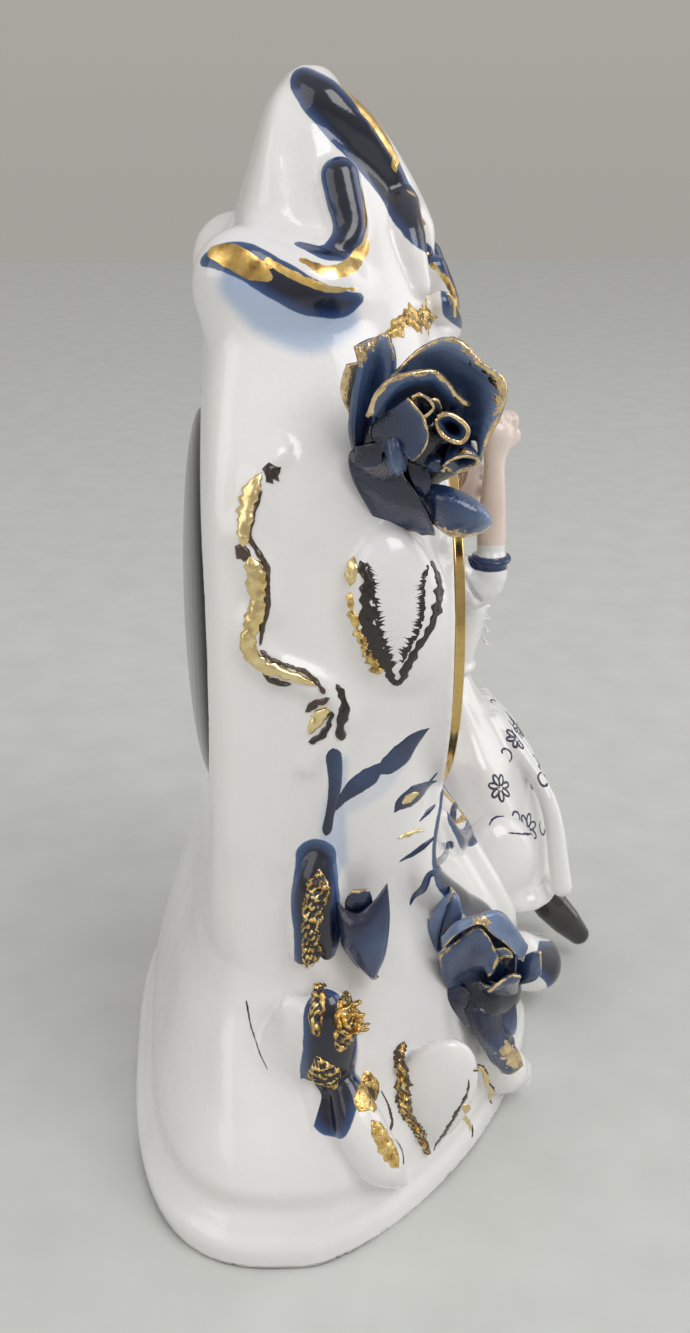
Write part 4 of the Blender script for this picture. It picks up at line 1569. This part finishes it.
def seen(clay, across, down):
    line = sightLine(across, down)
    start = np.array(viewpoint["place"]) / mm + line * view["start"]
    return meet(clay, start, line, view["end"] - view["start"])


def wallPath(clay, side, drawn):
    spots = [(seen(clay, p[0], p[1]), p[2]) for p in drawn]
    spots = [(spot, width) for spot, width in spots if spot is not None]
    if side > 0:
        spots = [(sideSpot(1, spot[1], spot[2]), width) for spot, width in spots]
    return [spot for spot, _ in spots], [width for _, width in spots]


def waver(rng, count, scales):
    waves = [(rng.normal(size=3) * scale, rng.uniform(0, 6.28)) for scale in scales for _ in range(count)]
    return lambda places: sum(np.sin(places @ d + phase) for d, phase in waves) / sqrt(len(waves) / 2)


# a stroke as a thin closed strip that follows the wall: high in the middle, ragged at its edges
def strip(clay, places, widths, height, ragged, lumps, rng, grain=0.7, columns=7):
    path, _ = smoothPath(places, [1, 1], 12 * (len(places) - 1))
    radii = np.interp(np.linspace(0, 1, len(path)), np.linspace(0, 1, len(widths)), np.array(widths) / 2)
    steps = runAlong(path)
    count = max(int(steps[-1] / grain), 4)
    spots = np.linspace(0, steps[-1], count)
    radii = np.interp(spots, steps, radii)
    path = clay.settled(pathAt(spots, steps, path), 2)
    ahead = np.gradient(path, axis=0)
    across = np.cross(clay.slope(path), ahead)
    across /= np.linalg.norm(across, axis=1, keepdims=True) + 1e-9
    uneven = waver(rng, 3, (1.2, 2.6))
    left = radii * (1 + ragged * uneven(path + 7))
    right = radii * (1 + ragged * uneven(path - 7))
    ends = np.clip(np.minimum(spots, spots[-1] - spots) / (radii.mean() + 0.3), 0, 1) ** 0.5
    share = np.linspace(-1, 1, columns)
    reach = np.where(share < 0, left[:, None], right[:, None]) * share * (ends[:, None] * 0.98 + 0.02)
    flat = clay.settled((path[:, None, :] + across[:, None, :] * reach[:, :, None]).reshape(-1, 3), 4)
    up = clay.slope(flat)
    crown = (np.sqrt(np.clip(1 - share ** 2, 0, 1)) * height + 0.03) * (ends[:, None] * 0.85 + 0.15)
    bumps = waver(rng, 7, (0.8, 1.5, 2.6))
    crown = crown.reshape(-1) * np.clip(1 + lumps * bumps(flat), 0.12, 3)
    top, low = flat + up * crown[:, None], flat - up * 0.4
    return np.concatenate([top, low]), sheetFaces(count, columns)


def layStrips(name, strokes, material, slot, height, ragged, seed, lumps=0.0, columns=7, grain=0.7,
              clay=caseClay, sides=(-1, 1)):
    rng = np.random.default_rng(seed)
    parts = []
    for side in sides:
        for drawn in strokes:
            places, widths = wallPath(clay, side, drawn)
            if len(places) > 1:
                parts.append(strip(clay, places, widths, height, ragged, lumps, rng, grain, columns))
    outward(newPiece(name, *joined(parts), material, slot))


# gilt edge that winds down the side, its dark brush marks and the leaf below it
ridgeGoldStrokes = [
    [(262, 472, 1.4), (250, 496, 5.4), (246, 519, 4.8), (243, 548, 3)],
    [(249, 556, 3), (256, 578, 5.6), (257, 604, 5.4), (253, 629, 4.4), (247, 645, 4.8), (256, 660, 4.4),
     (269, 669, 4), (286, 674, 3.2), (299, 678, 2.4), (317, 686, 1.2)],
    [(309, 735, 2.4), (317, 720, 4), (329, 708, 2.6)],
    [(354, 556, 2.4), (352, 570, 4), (350, 586, 2.6)],
]
ridgeDarkStrokes = [
    [(281, 467, 2.6), (273, 473, 4.8), (266, 482, 2.6)],
    [(262, 490, 0.9), (255, 511, 0.6), (250, 538, 0.9), (257, 551, 1.2), (265, 564, 1.3), (268, 585, 1.3),
     (267, 610, 1.3), (262, 629, 1.2), (260, 646, 1)],
    [(235, 546, 3.6), (243, 552, 5.4), (251, 556, 4)],
    [(260, 650, 1), (272, 660, 1), (289, 666, 1.2), (306, 673, 1.3), (316, 682, 1.2), (325, 694, 1.4)],
    [(262, 672, 1.2), (276, 682, 1.8), (292, 684, 1)],
    [(305, 712, 1.6), (318, 703, 2.2), (330, 698, 1.4)],
    [(308, 742, 1.2), (318, 739, 1.8), (328, 726, 1.6), (332, 711, 1)],
    [(336, 684, 1.4), (343, 695, 2.4), (345, 709, 2.8), (341, 724, 2.6), (342, 741, 2)],
]
leafDarkStrokes = [
    [(360, 560, 1.2), (365, 576, 3), (367, 597, 4), (369, 618, 4.6), (373, 639, 4.4), (380, 656, 3.6),
     (388, 672, 3), (398, 686, 1.6)],
    [(430, 561, 1.6), (437, 573, 3.4), (440, 592, 4.2), (437, 610, 3.6), (430, 628, 2.6), (418, 647, 1.8),
     (407, 668, 2.4), (398, 686, 1.4)],
]
leafBrownStrokes = [
    [(386, 337, 2), (400, 327, 5), (419, 317, 5.4), (437, 319, 2.6)],
    [(350, 592, 1.6), (353, 614, 2.6), (360, 636, 3), (369, 656, 3), (380, 674, 2.4)],
]
# roots of the brush hairs on the leaf and where each stroke of the brush ends
fringes = [
    [(366, 563), (371, 583), (374, 604), (377, 626), (383, 648), (391, 668)],
    [(382, 570), (388, 586), (392, 608), (390, 632), (394, 648), (401, 660)],
    [(428, 566), (424, 585), (424, 604), (422, 622), (414, 640), (404, 660)],
    [(418, 570), (413, 588), (412, 607), (408, 628), (403, 640), (398, 655)],
]
rocailleStrokes = [
    [(319, 868, 2), (318, 886, 6.6), (313, 910, 6.4), (311, 930, 5.4), (311, 955, 5.2), (309, 970, 2.6)],
    [(324, 980, 2.4), (318, 1000, 4.8), (315, 1020, 4.6), (319, 1037, 3)],
    [(317, 1056, 3), (325, 1075, 9), (334, 1090, 6)],
    [(343, 993, 3), (350, 1010, 9), (348, 1030, 9), (338, 1052, 5)],
]
scrollEye = {"middle": (346, 1021), "near": 2.5, "far": 17.0, "turns": 2.1, "steps": 26}
shellCrustStrokes = [
    [(404, 1041, 1.6), (399, 1055, 3.6), (402, 1073, 4.4), (402, 1090, 4.6), (405, 1106, 4.2),
     (413, 1124, 3.6), (422, 1138, 2.8), (428, 1154, 1.4)],
]
tongueStrokes = [
    [(366, 1070, 4), (368, 1086, 8.6), (363, 1102, 8.4), (359, 1112, 4.4)],
    [(371, 1120, 2.6), (379, 1132, 5.6), (388, 1147, 6.2), (396, 1162, 4.4), (399, 1168, 1.6)],
]
thinGoldStrokes = [
    [(445, 293, 0.8), (455, 318, 1.2), (463, 348, 0.8)],
    [(467, 300, 0.6), (466, 320, 1.2), (465, 345, 0.6)],
    [(397, 838, 0.4), (408, 834, 2), (425, 830, 0.5)],
    [(400, 804, 0.8), (409, 798, 3.4), (419, 792, 0.8)],
    [(464, 1105, 2.2), (467, 1120, 1.6), (470, 1132, 0.6)],
    [(475, 1068, 1), (486, 1076, 1.8), (492, 1090, 1.8), (491, 1101, 0.8)],
    [(388, 922, 1.6), (384, 932, 2), (381, 944, 1.4)],
]
thinDarkStrokes = [
    [(469, 1079, 0.5), (467, 1094, 1), (459, 1108, 1.5), (450, 1124, 1.3), (441, 1138, 1.5),
     (434, 1151, 1)],
    [(472, 1124, 0.6), (472, 1138, 0.8), (467, 1161, 0.5)],
    [(473, 1070, 0.5), (487, 1074, 0.7), (494, 1090, 0.7), (492, 1104, 0.4)],
    [(381, 1090, 0.5), (392, 1119, 0.9), (402, 1151, 0.9), (403, 1165, 0.5)],
    [(246, 1000, 0.3), (252, 1030, 0.5), (268, 1070, 0.3)],
]
cobaltStrokes = [
    [(430, 728, 0.8), (414, 740, 5.2), (402, 754, 7.4), (388, 766, 5.6), (376, 774, 2)],
    [(384, 762, 1.6), (370, 776, 5.6), (356, 786, 5.2), (343, 798, 3.2), (334, 812, 1.6)],
    [(333, 748, 4), (335, 766, 4.6), (335, 790, 3.8), (330, 815, 2.6), (326, 836, 3.2)],
    [(394, 813, 1), (401, 804, 4.6), (412, 796, 6.6), (425, 788, 4), (438, 781, 0.8)],
    [(399, 862, 0.5), (411, 855, 1.3), (424, 846, 1.5), (436, 835, 0.5)],
    [(452, 790, 1), (453, 815, 2.2), (447, 850, 2.6), (436, 872, 2.2), (420, 892, 2.4), (410, 906, 1)],
    [(424, 790, 0.5), (431, 780, 1), (438, 772, 0.4)],
    [(419, 822, 0.4), (428, 812, 1.3), (436, 804, 0.5)],
]


def spiralStroke(eye):
    turns = np.linspace(0, 1, eye["steps"])
    return [(eye["middle"][0] + r * cos(a) * 0.8, eye["middle"][1] + r * sin(a), 1.6)
            for r, a in zip(eye["near"] + (eye["far"] - eye["near"]) * turns, turns * eye["turns"] * 2 * pi)]


layStrips("blue_brushwork", cobaltStrokes, cobaltGlaze, "cobalt_glaze", 0.2, 0.02, 12, columns=13)
layStrips("gilt_edges", ridgeGoldStrokes, brightGold, "gilt_metal", 0.9, 0.16, 13, 0.2, 9)
layStrips("dark_brush_marks", ridgeDarkStrokes, umberGlaze, "black_glaze", 0.7, 0.35, 14, 0.3)
layStrips("leaf_brush_marks", leafDarkStrokes, umberGlaze, "black_glaze", 0.3, 0.3, 15, 0.4, 13)
layStrips("leaf_brown_edge", leafBrownStrokes, antiqueGold, "gilt_metal", 0.5, 0.4, 21, 0.6, 13)
layStrips("gilt_rocaille", rocailleStrokes, rocaille, "gilt_metal", 1.1, 0.12, 16, 0.42, 21, 0.4)
layStrips("shell_crust", shellCrustStrokes, antiqueGold, "gilt_metal", 1.3, 0.2, 22, 0.5, 13, 0.4)
layStrips("gilt_scroll_eye", [spiralStroke(scrollEye)], antiqueGold, "gilt_metal", 2.4, 0.1, 17, 0.3,
          grain=0.4)
layStrips("gilt_tongue", tongueStrokes, antiqueGold, "gilt_metal", 0.3, 0.1, 18, 0.2, 13)
layStrips("fine_gold_lines", thinGoldStrokes, brightGold, "gilt_metal", 0.45, 0.2, 19, 0.1)
layStrips("fine_dark_lines", thinDarkStrokes, umberGlaze, "black_glaze", 0.2, 0.35, 20, 0.1, grain=0.5)
print("gilding laid")


# dark daisies and curls on the skirt, and creases on the petticoat: plain traditional sprigs
# as [turn round the skirt from its right side, height, size]
sprigForm = {
    "petals": 7, "line": 0.8, "axis": (46, -40),
    "daisies": [(-176, 82, 5), (-158, 66, 6), (-150, 94, 4.4), (-134, 78, 5.4), (-120, 58, 5.6),
        (-112, 92, 5), (-95, 72, 6), (-80, 55, 5.2), (-74, 90, 5), (-58, 70, 5.8), (-42, 88, 5),
        (-34, 56, 5.4), (-20, 74, 5.6), (-4, 92, 4.6), (2, 60, 5.6)],
    "curls": [(-168, 72, 3.6), (-166, 90, 3.4), (-146, 82, 3.8), (-140, 62, 3.4), (-124, 84, 3.6),
        (-106, 66, 3.8), (-104, 100, 3), (-92, 88, 3.4), (-84, 64, 3.4), (-66, 82, 3.6), (-60, 58, 3.4),
        (-50, 98, 3), (-46, 64, 3.6), (-30, 80, 3.4), (-12, 66, 3.6), (-10, 84, 3.2)],
}
creases = [
    [(489, 826, 0.4), (494, 818, 0.9), (505, 816, 0.4)],
    [(508, 833, 0.4), (528, 834, 0.9), (549, 833, 0.4)],
]


def loopStroke(x, y, size, turn, width):
    out = []
    for k in range(9):
        a = k / 8 * pi * 2 - pi
        far = size * 0.5 * (1 + cos(a))
        side = size * 0.26 * sin(a)
        out.append((x + far * cos(turn) - side * sin(turn), y + far * sin(turn) + side * cos(turn), width))
    return out


def curlStroke(x, y, size, turn, width):
    steps = [(size * (0.2 + 0.8 * t), turn + 4.4 * (1 - t)) for t in np.linspace(0, 1, 9)]
    return [(x + r * cos(a), y + r * sin(a), width * (1.3 - 0.08 * k)) for k, (r, a) in enumerate(steps)]


# a flat drawing wrapped on to the skirt round one of its spots
def onSkirt(turn, height, drawn):
    a = radians(turn)
    away = np.array([cos(a), sin(a), 0.0])
    spot = meet(skirtClay, np.array([*sprigForm["axis"], height]) + away * 60, -away, 60)
    if spot is None:
        return None
    up = skirtClay.slope(spot[None])[0]
    right = np.cross([0, 0, 1.0], up)
    right /= np.linalg.norm(right)
    upright = np.cross(up, right)
    return skirtClay.settled(np.array([spot + right * x + upright * y for x, y, _ in drawn])), [w for _, _,
                                                                                                w in drawn]


def makeSkirtSprigs():
    f = sprigForm
    rng = np.random.default_rng(23)
    parts = []
    for turn, height, size in f["daisies"]:
        drawings = [curlStroke(0, 0, 1.0, 0, f["line"])]
        for k in range(f["petals"]):
            lean = k / f["petals"] * 2 * pi
            drawings.append(loopStroke(cos(lean), sin(lean), size * 0.75, lean, f["line"]))
        parts += [onSkirt(turn, height, drawn) for drawn in drawings]
    for turn, height, size in f["curls"]:
        parts.append(onSkirt(turn, height, curlStroke(0, 0, size, radians(turn * 7), f["line"])))
    strips = [strip(skirtClay, *part, 0.14, 0.12, 0.0, rng, 0.4, 5) for part in parts if part is not None]
    outward(newPiece("skirt_sprigs", *joined(strips), inkGlaze, "cobalt_glaze"))


makeSkirtSprigs()
layStrips("petticoat_creases", creases, inkGlaze, "cobalt_glaze", 0.14, 0.2, 24, grain=0.5,
          clay=petticoatClay, sides=(-1,))


# hairs of the brush along both edges of the leaf
fringeForm = {"sides": 5, "perEdge": 90, "width": 0.95, "height": 0.16, "seed": 31}


def makeBladeTree():
    tree, given = formTree("brushHairs", {"Hair Sides": "Int"})
    cone = addNode(tree, "GeometryNodeMeshCone", {
        "Vertices": given["Hair Sides"], "Radius Bottom": 0.5, "Radius Top": 0.0, "Depth": 1.0})
    aim, up, size = (addNode(tree, "GeometryNodeInputNamedAttribute", {"Name": name},
                             data_type="FLOAT_VECTOR").outputs[0]
                     for name in ("aim", "up", "grow"))
    along = addNode(tree, "FunctionNodeAlignRotationToVector", {"Vector": aim}, axis="Z")
    upright = addNode(tree, "FunctionNodeAlignRotationToVector", {"Rotation": along.outputs[0], "Vector": up},
                      axis="X", pivot_axis="Z")
    placed = addNode(tree, "GeometryNodeInstanceOnPoints", {
        "Points": given["Geometry"], "Instance": cone.outputs[0], "Rotation": upright.outputs[0],
        "Scale": size})
    return endTree(tree, given, placed.outputs[0])


def makeFringes():
    f = fringeForm
    rng = np.random.default_rng(f["seed"])
    roots, aims, ups, sizes = [], [], [], []
    for side in (-1, 1):
        for near, far in ((fringes[0], fringes[1]), (fringes[2], fringes[3])):
            rows = []
            for drawn in (near, far):
                places, _ = wallPath(caseClay, side, [(*p, 1.0) for p in drawn])
                rows.append(spread(places, f["perEdge"]))
            reach = rng.uniform(0.4, 1.9, f["perEdge"])[:, None]
            start = caseClay.settled(rows[0] + rng.normal(0, 0.25, rows[0].shape))
            end = caseClay.settled(start + (rows[1] - rows[0]) * reach + rng.normal(0, 0.5, start.shape))
            run = end - start
            roots.append(start)
            aims.append(run)
            ups.append(caseClay.slope(start))
            length = np.linalg.norm(run, axis=1) * mm
            wide = f["width"] * mm * rng.uniform(0.6, 1.5, f["perEdge"])
            sizes.append(np.stack([np.full(len(length), f["height"] * 2 * mm), wide, length], axis=1))
    vectors = {"aim": np.concatenate(aims), "up": np.concatenate(ups), "grow": np.concatenate(sizes)}
    grow("leaf_brush_hairs", makeBladeTree(), {"Hair Sides": f["sides"]}, umberGlaze, "black_glaze",
         places=np.concatenate(roots), vectors=vectors)


makeFringes()
print("brush hairs laid")


# the dial behind its window, and finishes for the pieces of the movement

dialForm = {"numberRing": 36.5, "numberHeight": 9.0, "relief": 0.1, "face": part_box("dial")[0][1] / mm,
            "markRing": 44.0, "marks": 60, "markLength": 1.6, "markWidth": 0.5, "longMark": 1.9}
windowForm = {"radius": 48.3, "front": -10.9, "back": -9.4, "dome": 1.2, "rings": 8}


# plain numbers, each made a mesh before it is put in its place on the ring
def makeNumbers():
    d = dialForm
    points, faces, start = [], [], 0
    for hour in range(1, 13):
        curve = bpy.data.curves.new("number", "FONT")
        curve.body = str(hour)
        curve.size = d["numberHeight"]
        curve.align_x, curve.align_y = "CENTER", "CENTER"
        curve.extrude = d["relief"] / 2
        curve.resolution_u = 4
        text = bpy.data.objects.new("number", curve)
        bpy.context.scene.collection.objects.link(text)
        bpy.context.view_layer.update()
        mesh = bpy.data.meshes.new_from_object(text.evaluated_get(bpy.context.evaluated_depsgraph_get()))
        turn = hour / 12 * 2 * pi
        x0, z0 = dialX + d["numberRing"] * sin(turn), dialZ + d["numberRing"] * cos(turn)
        points += [(x0 + v.co.x, d["face"] - d["relief"] / 2 - v.co.z, z0 + v.co.y) for v in mesh.vertices]
        faces += [[start + i for i in polygon.vertices] for polygon in mesh.polygons]
        start = len(points)
        bpy.data.objects.remove(text)
        bpy.data.curves.remove(curve)
        bpy.data.meshes.remove(mesh)
    outward(newPiece("dial_numbers", points, faces, dialInk, "dial_card", smooth=False), merged=True)


# minute marks round the dial, every fifth one longer
def makeMarkTree():
    tree, given = formTree("minuteMarks", {
        "Marks": "Int", "Ring Radius": "Float", "Mark Length": "Float", "Mark Width": "Float",
        "Mark Relief": "Float", "Long Mark": "Float", "Place": "Vector"})
    ring = addNode(tree, "GeometryNodeMeshCircle", {"Vertices": given["Marks"],
                                                    "Radius": given["Ring Radius"]})
    size = addNode(tree, "ShaderNodeCombineXYZ", {0: given["Mark Length"], 1: given["Mark Width"],
                                                  2: given["Mark Relief"]})
    mark = addNode(tree, "GeometryNodeMeshCube", {"Size": size.outputs[0]})
    index = addNode(tree, "GeometryNodeInputIndex").outputs[0]
    fifth = mathNode(tree, "LESS_THAN", mathNode(tree, "MODULO", index, 5.0), 0.5)
    grown = mathNode(tree, "MULTIPLY_ADD", fifth, mathNode(tree, "SUBTRACT", given["Long Mark"], 1.0), 1.0)
    share = addNode(tree, "ShaderNodeCombineXYZ", {0: grown, 1: grown, 2: 1.0})
    away = addNode(tree, "GeometryNodeInputPosition").outputs[0]
    turned = addNode(tree, "FunctionNodeAlignRotationToVector", {"Vector": away}, axis="X", pivot_axis="Z")
    placed = addNode(tree, "GeometryNodeInstanceOnPoints", {
        "Points": ring.outputs[0], "Instance": mark.outputs[0], "Rotation": turned.outputs[0],
        "Scale": share.outputs[0]})
    upright = addNode(tree, "GeometryNodeTransform", {
        "Geometry": placed.outputs[0], "Translation": given["Place"], "Rotation": (pi / 2, 0, 0)})
    return endTree(tree, given, upright.outputs[0])


def makeMarks():
    d = dialForm
    grow("minute_marks", makeMarkTree(), {
        "Marks": d["marks"], "Ring Radius": d["markRing"] * mm, "Mark Length": d["markLength"] * mm,
        "Mark Width": d["markWidth"] * mm, "Mark Relief": d["relief"] * mm, "Long Mark": d["longMark"],
        "Place": (dialX * mm, (d["face"] - d["relief"] / 2) * mm, dialZ * mm)}, dialInk, "dial_card")


def makeWindow():
    w = windowForm
    share = np.linspace(0, 1, w["rings"])
    front = [(max(w["radius"] * s, 0.02), w["front"] - w["dome"] * (1 - s * s)) for s in share]
    back = [(max((w["radius"] - 0.02) * s, 0.02), w["back"] - w["dome"] * (1 - s * s)) for s in share[::-1]]
    points, faces = lathe(front + back, closed=False)
    outward(newPiece("domed_window", points, faces, windowGlass, "window_glass", "glass"), merged=True)


# coil of the step motor: one layer of wire wound on its core
coilForm = {"turns": 22, "wire": 0.75, "wireSides": 6, "stepsPerTurn": 20}


def makeCoilTree():
    tree, given = formTree("coilWinding", {
        "Turns": "Float", "Steps": "Int", "Coil Radius": "Float", "Coil Length": "Float",
        "Wire Radius": "Float", "Wire Sides": "Int", "Place": "Vector"})
    spiral = addNode(tree, "GeometryNodeCurveSpiral", {
        "Resolution": given["Steps"], "Rotations": given["Turns"], "Start Radius": given["Coil Radius"],
        "End Radius": given["Coil Radius"], "Height": given["Coil Length"]})
    section = addNode(tree, "GeometryNodeCurvePrimitiveCircle", {"Resolution": given["Wire Sides"],
                                                                 "Radius": given["Wire Radius"]})
    wire = addNode(tree, "GeometryNodeCurveToMesh", {"Curve": spiral.outputs[0],
                                                     "Profile Curve": section.outputs[0],
                                                     "Fill Caps": True})
    core = addNode(tree, "GeometryNodeMeshCylinder", {"Vertices": 32, "Radius": given["Coil Radius"],
                                                      "Depth": given["Coil Length"]})
    half = mathNode(tree, "MULTIPLY", given["Coil Length"], 0.5)
    raised = addNode(tree, "ShaderNodeCombineXYZ", {2: half})
    lifted = addNode(tree, "GeometryNodeTransform", {"Geometry": core.outputs[0],
                                                     "Translation": raised.outputs[0]})
    both = tree.nodes.new("GeometryNodeJoinGeometry")
    tree.links.new(wire.outputs[0], both.inputs[0])
    tree.links.new(lifted.outputs[0], both.inputs[0])
    laid = addNode(tree, "GeometryNodeTransform", {
        "Geometry": both.outputs[0], "Translation": given["Place"], "Rotation": (0, pi / 2, 0)})
    return endTree(tree, given, laid.outputs[0])


def makeCoil():
    c = coilForm
    low, high = (np.array(corner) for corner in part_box("drive_coil"))
    radius = (high[2] - low[2]) / 2 - c["wire"] * mm
    grow("coil_winding", makeCoilTree(), {
        "Turns": float(c["turns"]), "Steps": c["stepsPerTurn"], "Coil Radius": radius,
        "Coil Length": float(high[0] - low[0]) - c["wire"] * mm, "Wire Radius": c["wire"] * mm / 2,
        "Wire Sides": c["wireSides"], "Place": (float(low[0]) + c["wire"] * mm / 2, *((low + high) / 2)[1:])},
        copperWire, "copper", "drive_coil")


nodeFinishes = [
    (sealRubber, ["insert_grip_ring", "dial_washer"]), (dialCard, ["dial"]), (boardGreen, ["circuit_board"]),
    (gilt, ["hour_hand", "minute_hand", "second_hand"]),
    (whitePlastic, ["dial_spacer", "hour_wheel", "cannon_pinion", "minute_wheel"]),
    (blackPlastic, ["dial_retaining_ring", "movement_case", "movement_back", "time_set_knob"]),
    (brassMetal, ["dial_nut", "minute_hand_nut", "battery_contact_positive"]),
    (steelMetal, ["second_arbor", "battery", "battery_contact_negative", "stator_core"]),
]


def finishNodes():
    for material, names in nodeFinishes:
        for name in names:
            for slot in bpy.data.objects[name].material_slots:
                slot.material = material


makeNumbers()
makeMarks()
makeWindow()
makeCoil()
finishNodes()
print("dial and movement finished")


# floor, light and camera

def makeStage():
    bpy.ops.mesh.primitive_plane_add(size=6, location=(0, 0, 0))
    floor = bpy.context.object
    floor.name = "floor"
    material, tree, shader = newMaterial("pale_floor", Roughness=0.6)
    tones = ramp(tree, noiseNode(tree, 40.0, 4.0), (0.3, 0.7), [(0.62, 0.63, 0.60), (0.67, 0.68, 0.65)])
    tree.links.new(tones, shader.inputs["Base Color"])
    floor.data.materials.append(material)
    world = bpy.data.worlds.new("studio")
    world.use_nodes = True
    bpy.context.scene.world = world
    tree = world.node_tree
    back = tree.nodes["Background"]
    place = addNode(tree, "ShaderNodeTexCoord").outputs["Generated"]
    parts = addNode(tree, "ShaderNodeSeparateXYZ", {0: place})
    tones = ramp(tree, mapped(tree, parts.outputs[2], -0.2, 1.0), (0.0, 0.35, 1.0),
                 [(0.60, 0.57, 0.53), (0.72, 0.68, 0.63), (0.93, 0.93, 0.95)])
    tree.links.new(tones, back.inputs[0])
    back.inputs[1].default_value = 0.62


def softLight(name, place, target, size, power, colour=(1, 1, 1)):
    light = bpy.data.lights.new(name, "AREA")
    light.shape = "RECTANGLE"
    light.size, light.size_y = size
    light.energy = power
    light.color = colour
    lamp = bpy.data.objects.new(name, light)
    bpy.context.scene.collection.objects.link(lamp)
    lamp.location = place
    lamp.rotation_euler = (Vector(target) - Vector(place)).to_track_quat("-Z", "Y").to_euler()


def makeCamera():
    v = viewpoint
    camera = bpy.data.cameras.new("camera")
    camera.lens = v["lens"]
    camera.sensor_width = 36
    camera.clip_start = 0.01
    lens = bpy.data.objects.new("camera", camera)
    bpy.context.scene.collection.objects.link(lens)
    lens.location = v["place"]
    lens.rotation_euler = Vector(sightAhead()).to_track_quat("-Z", "Y").to_euler()
    bpy.context.scene.camera = lens


makeStage()
softLight("key", (-0.9, -0.7, 1.3), (0, 0, 0.15), (0.9, 0.9), 9.5)
softLight("fill", (-0.6, 1.3, 0.9), (0, 0, 0.15), (1.2, 1.2), 4.8, (1, 0.98, 0.95))
softLight("front", (0.3, -1.6, 0.7), (0, 0, 0.15), (1.0, 1.4), 6)
makeCamera()
bpy.context.scene.view_settings.view_transform = "Standard"
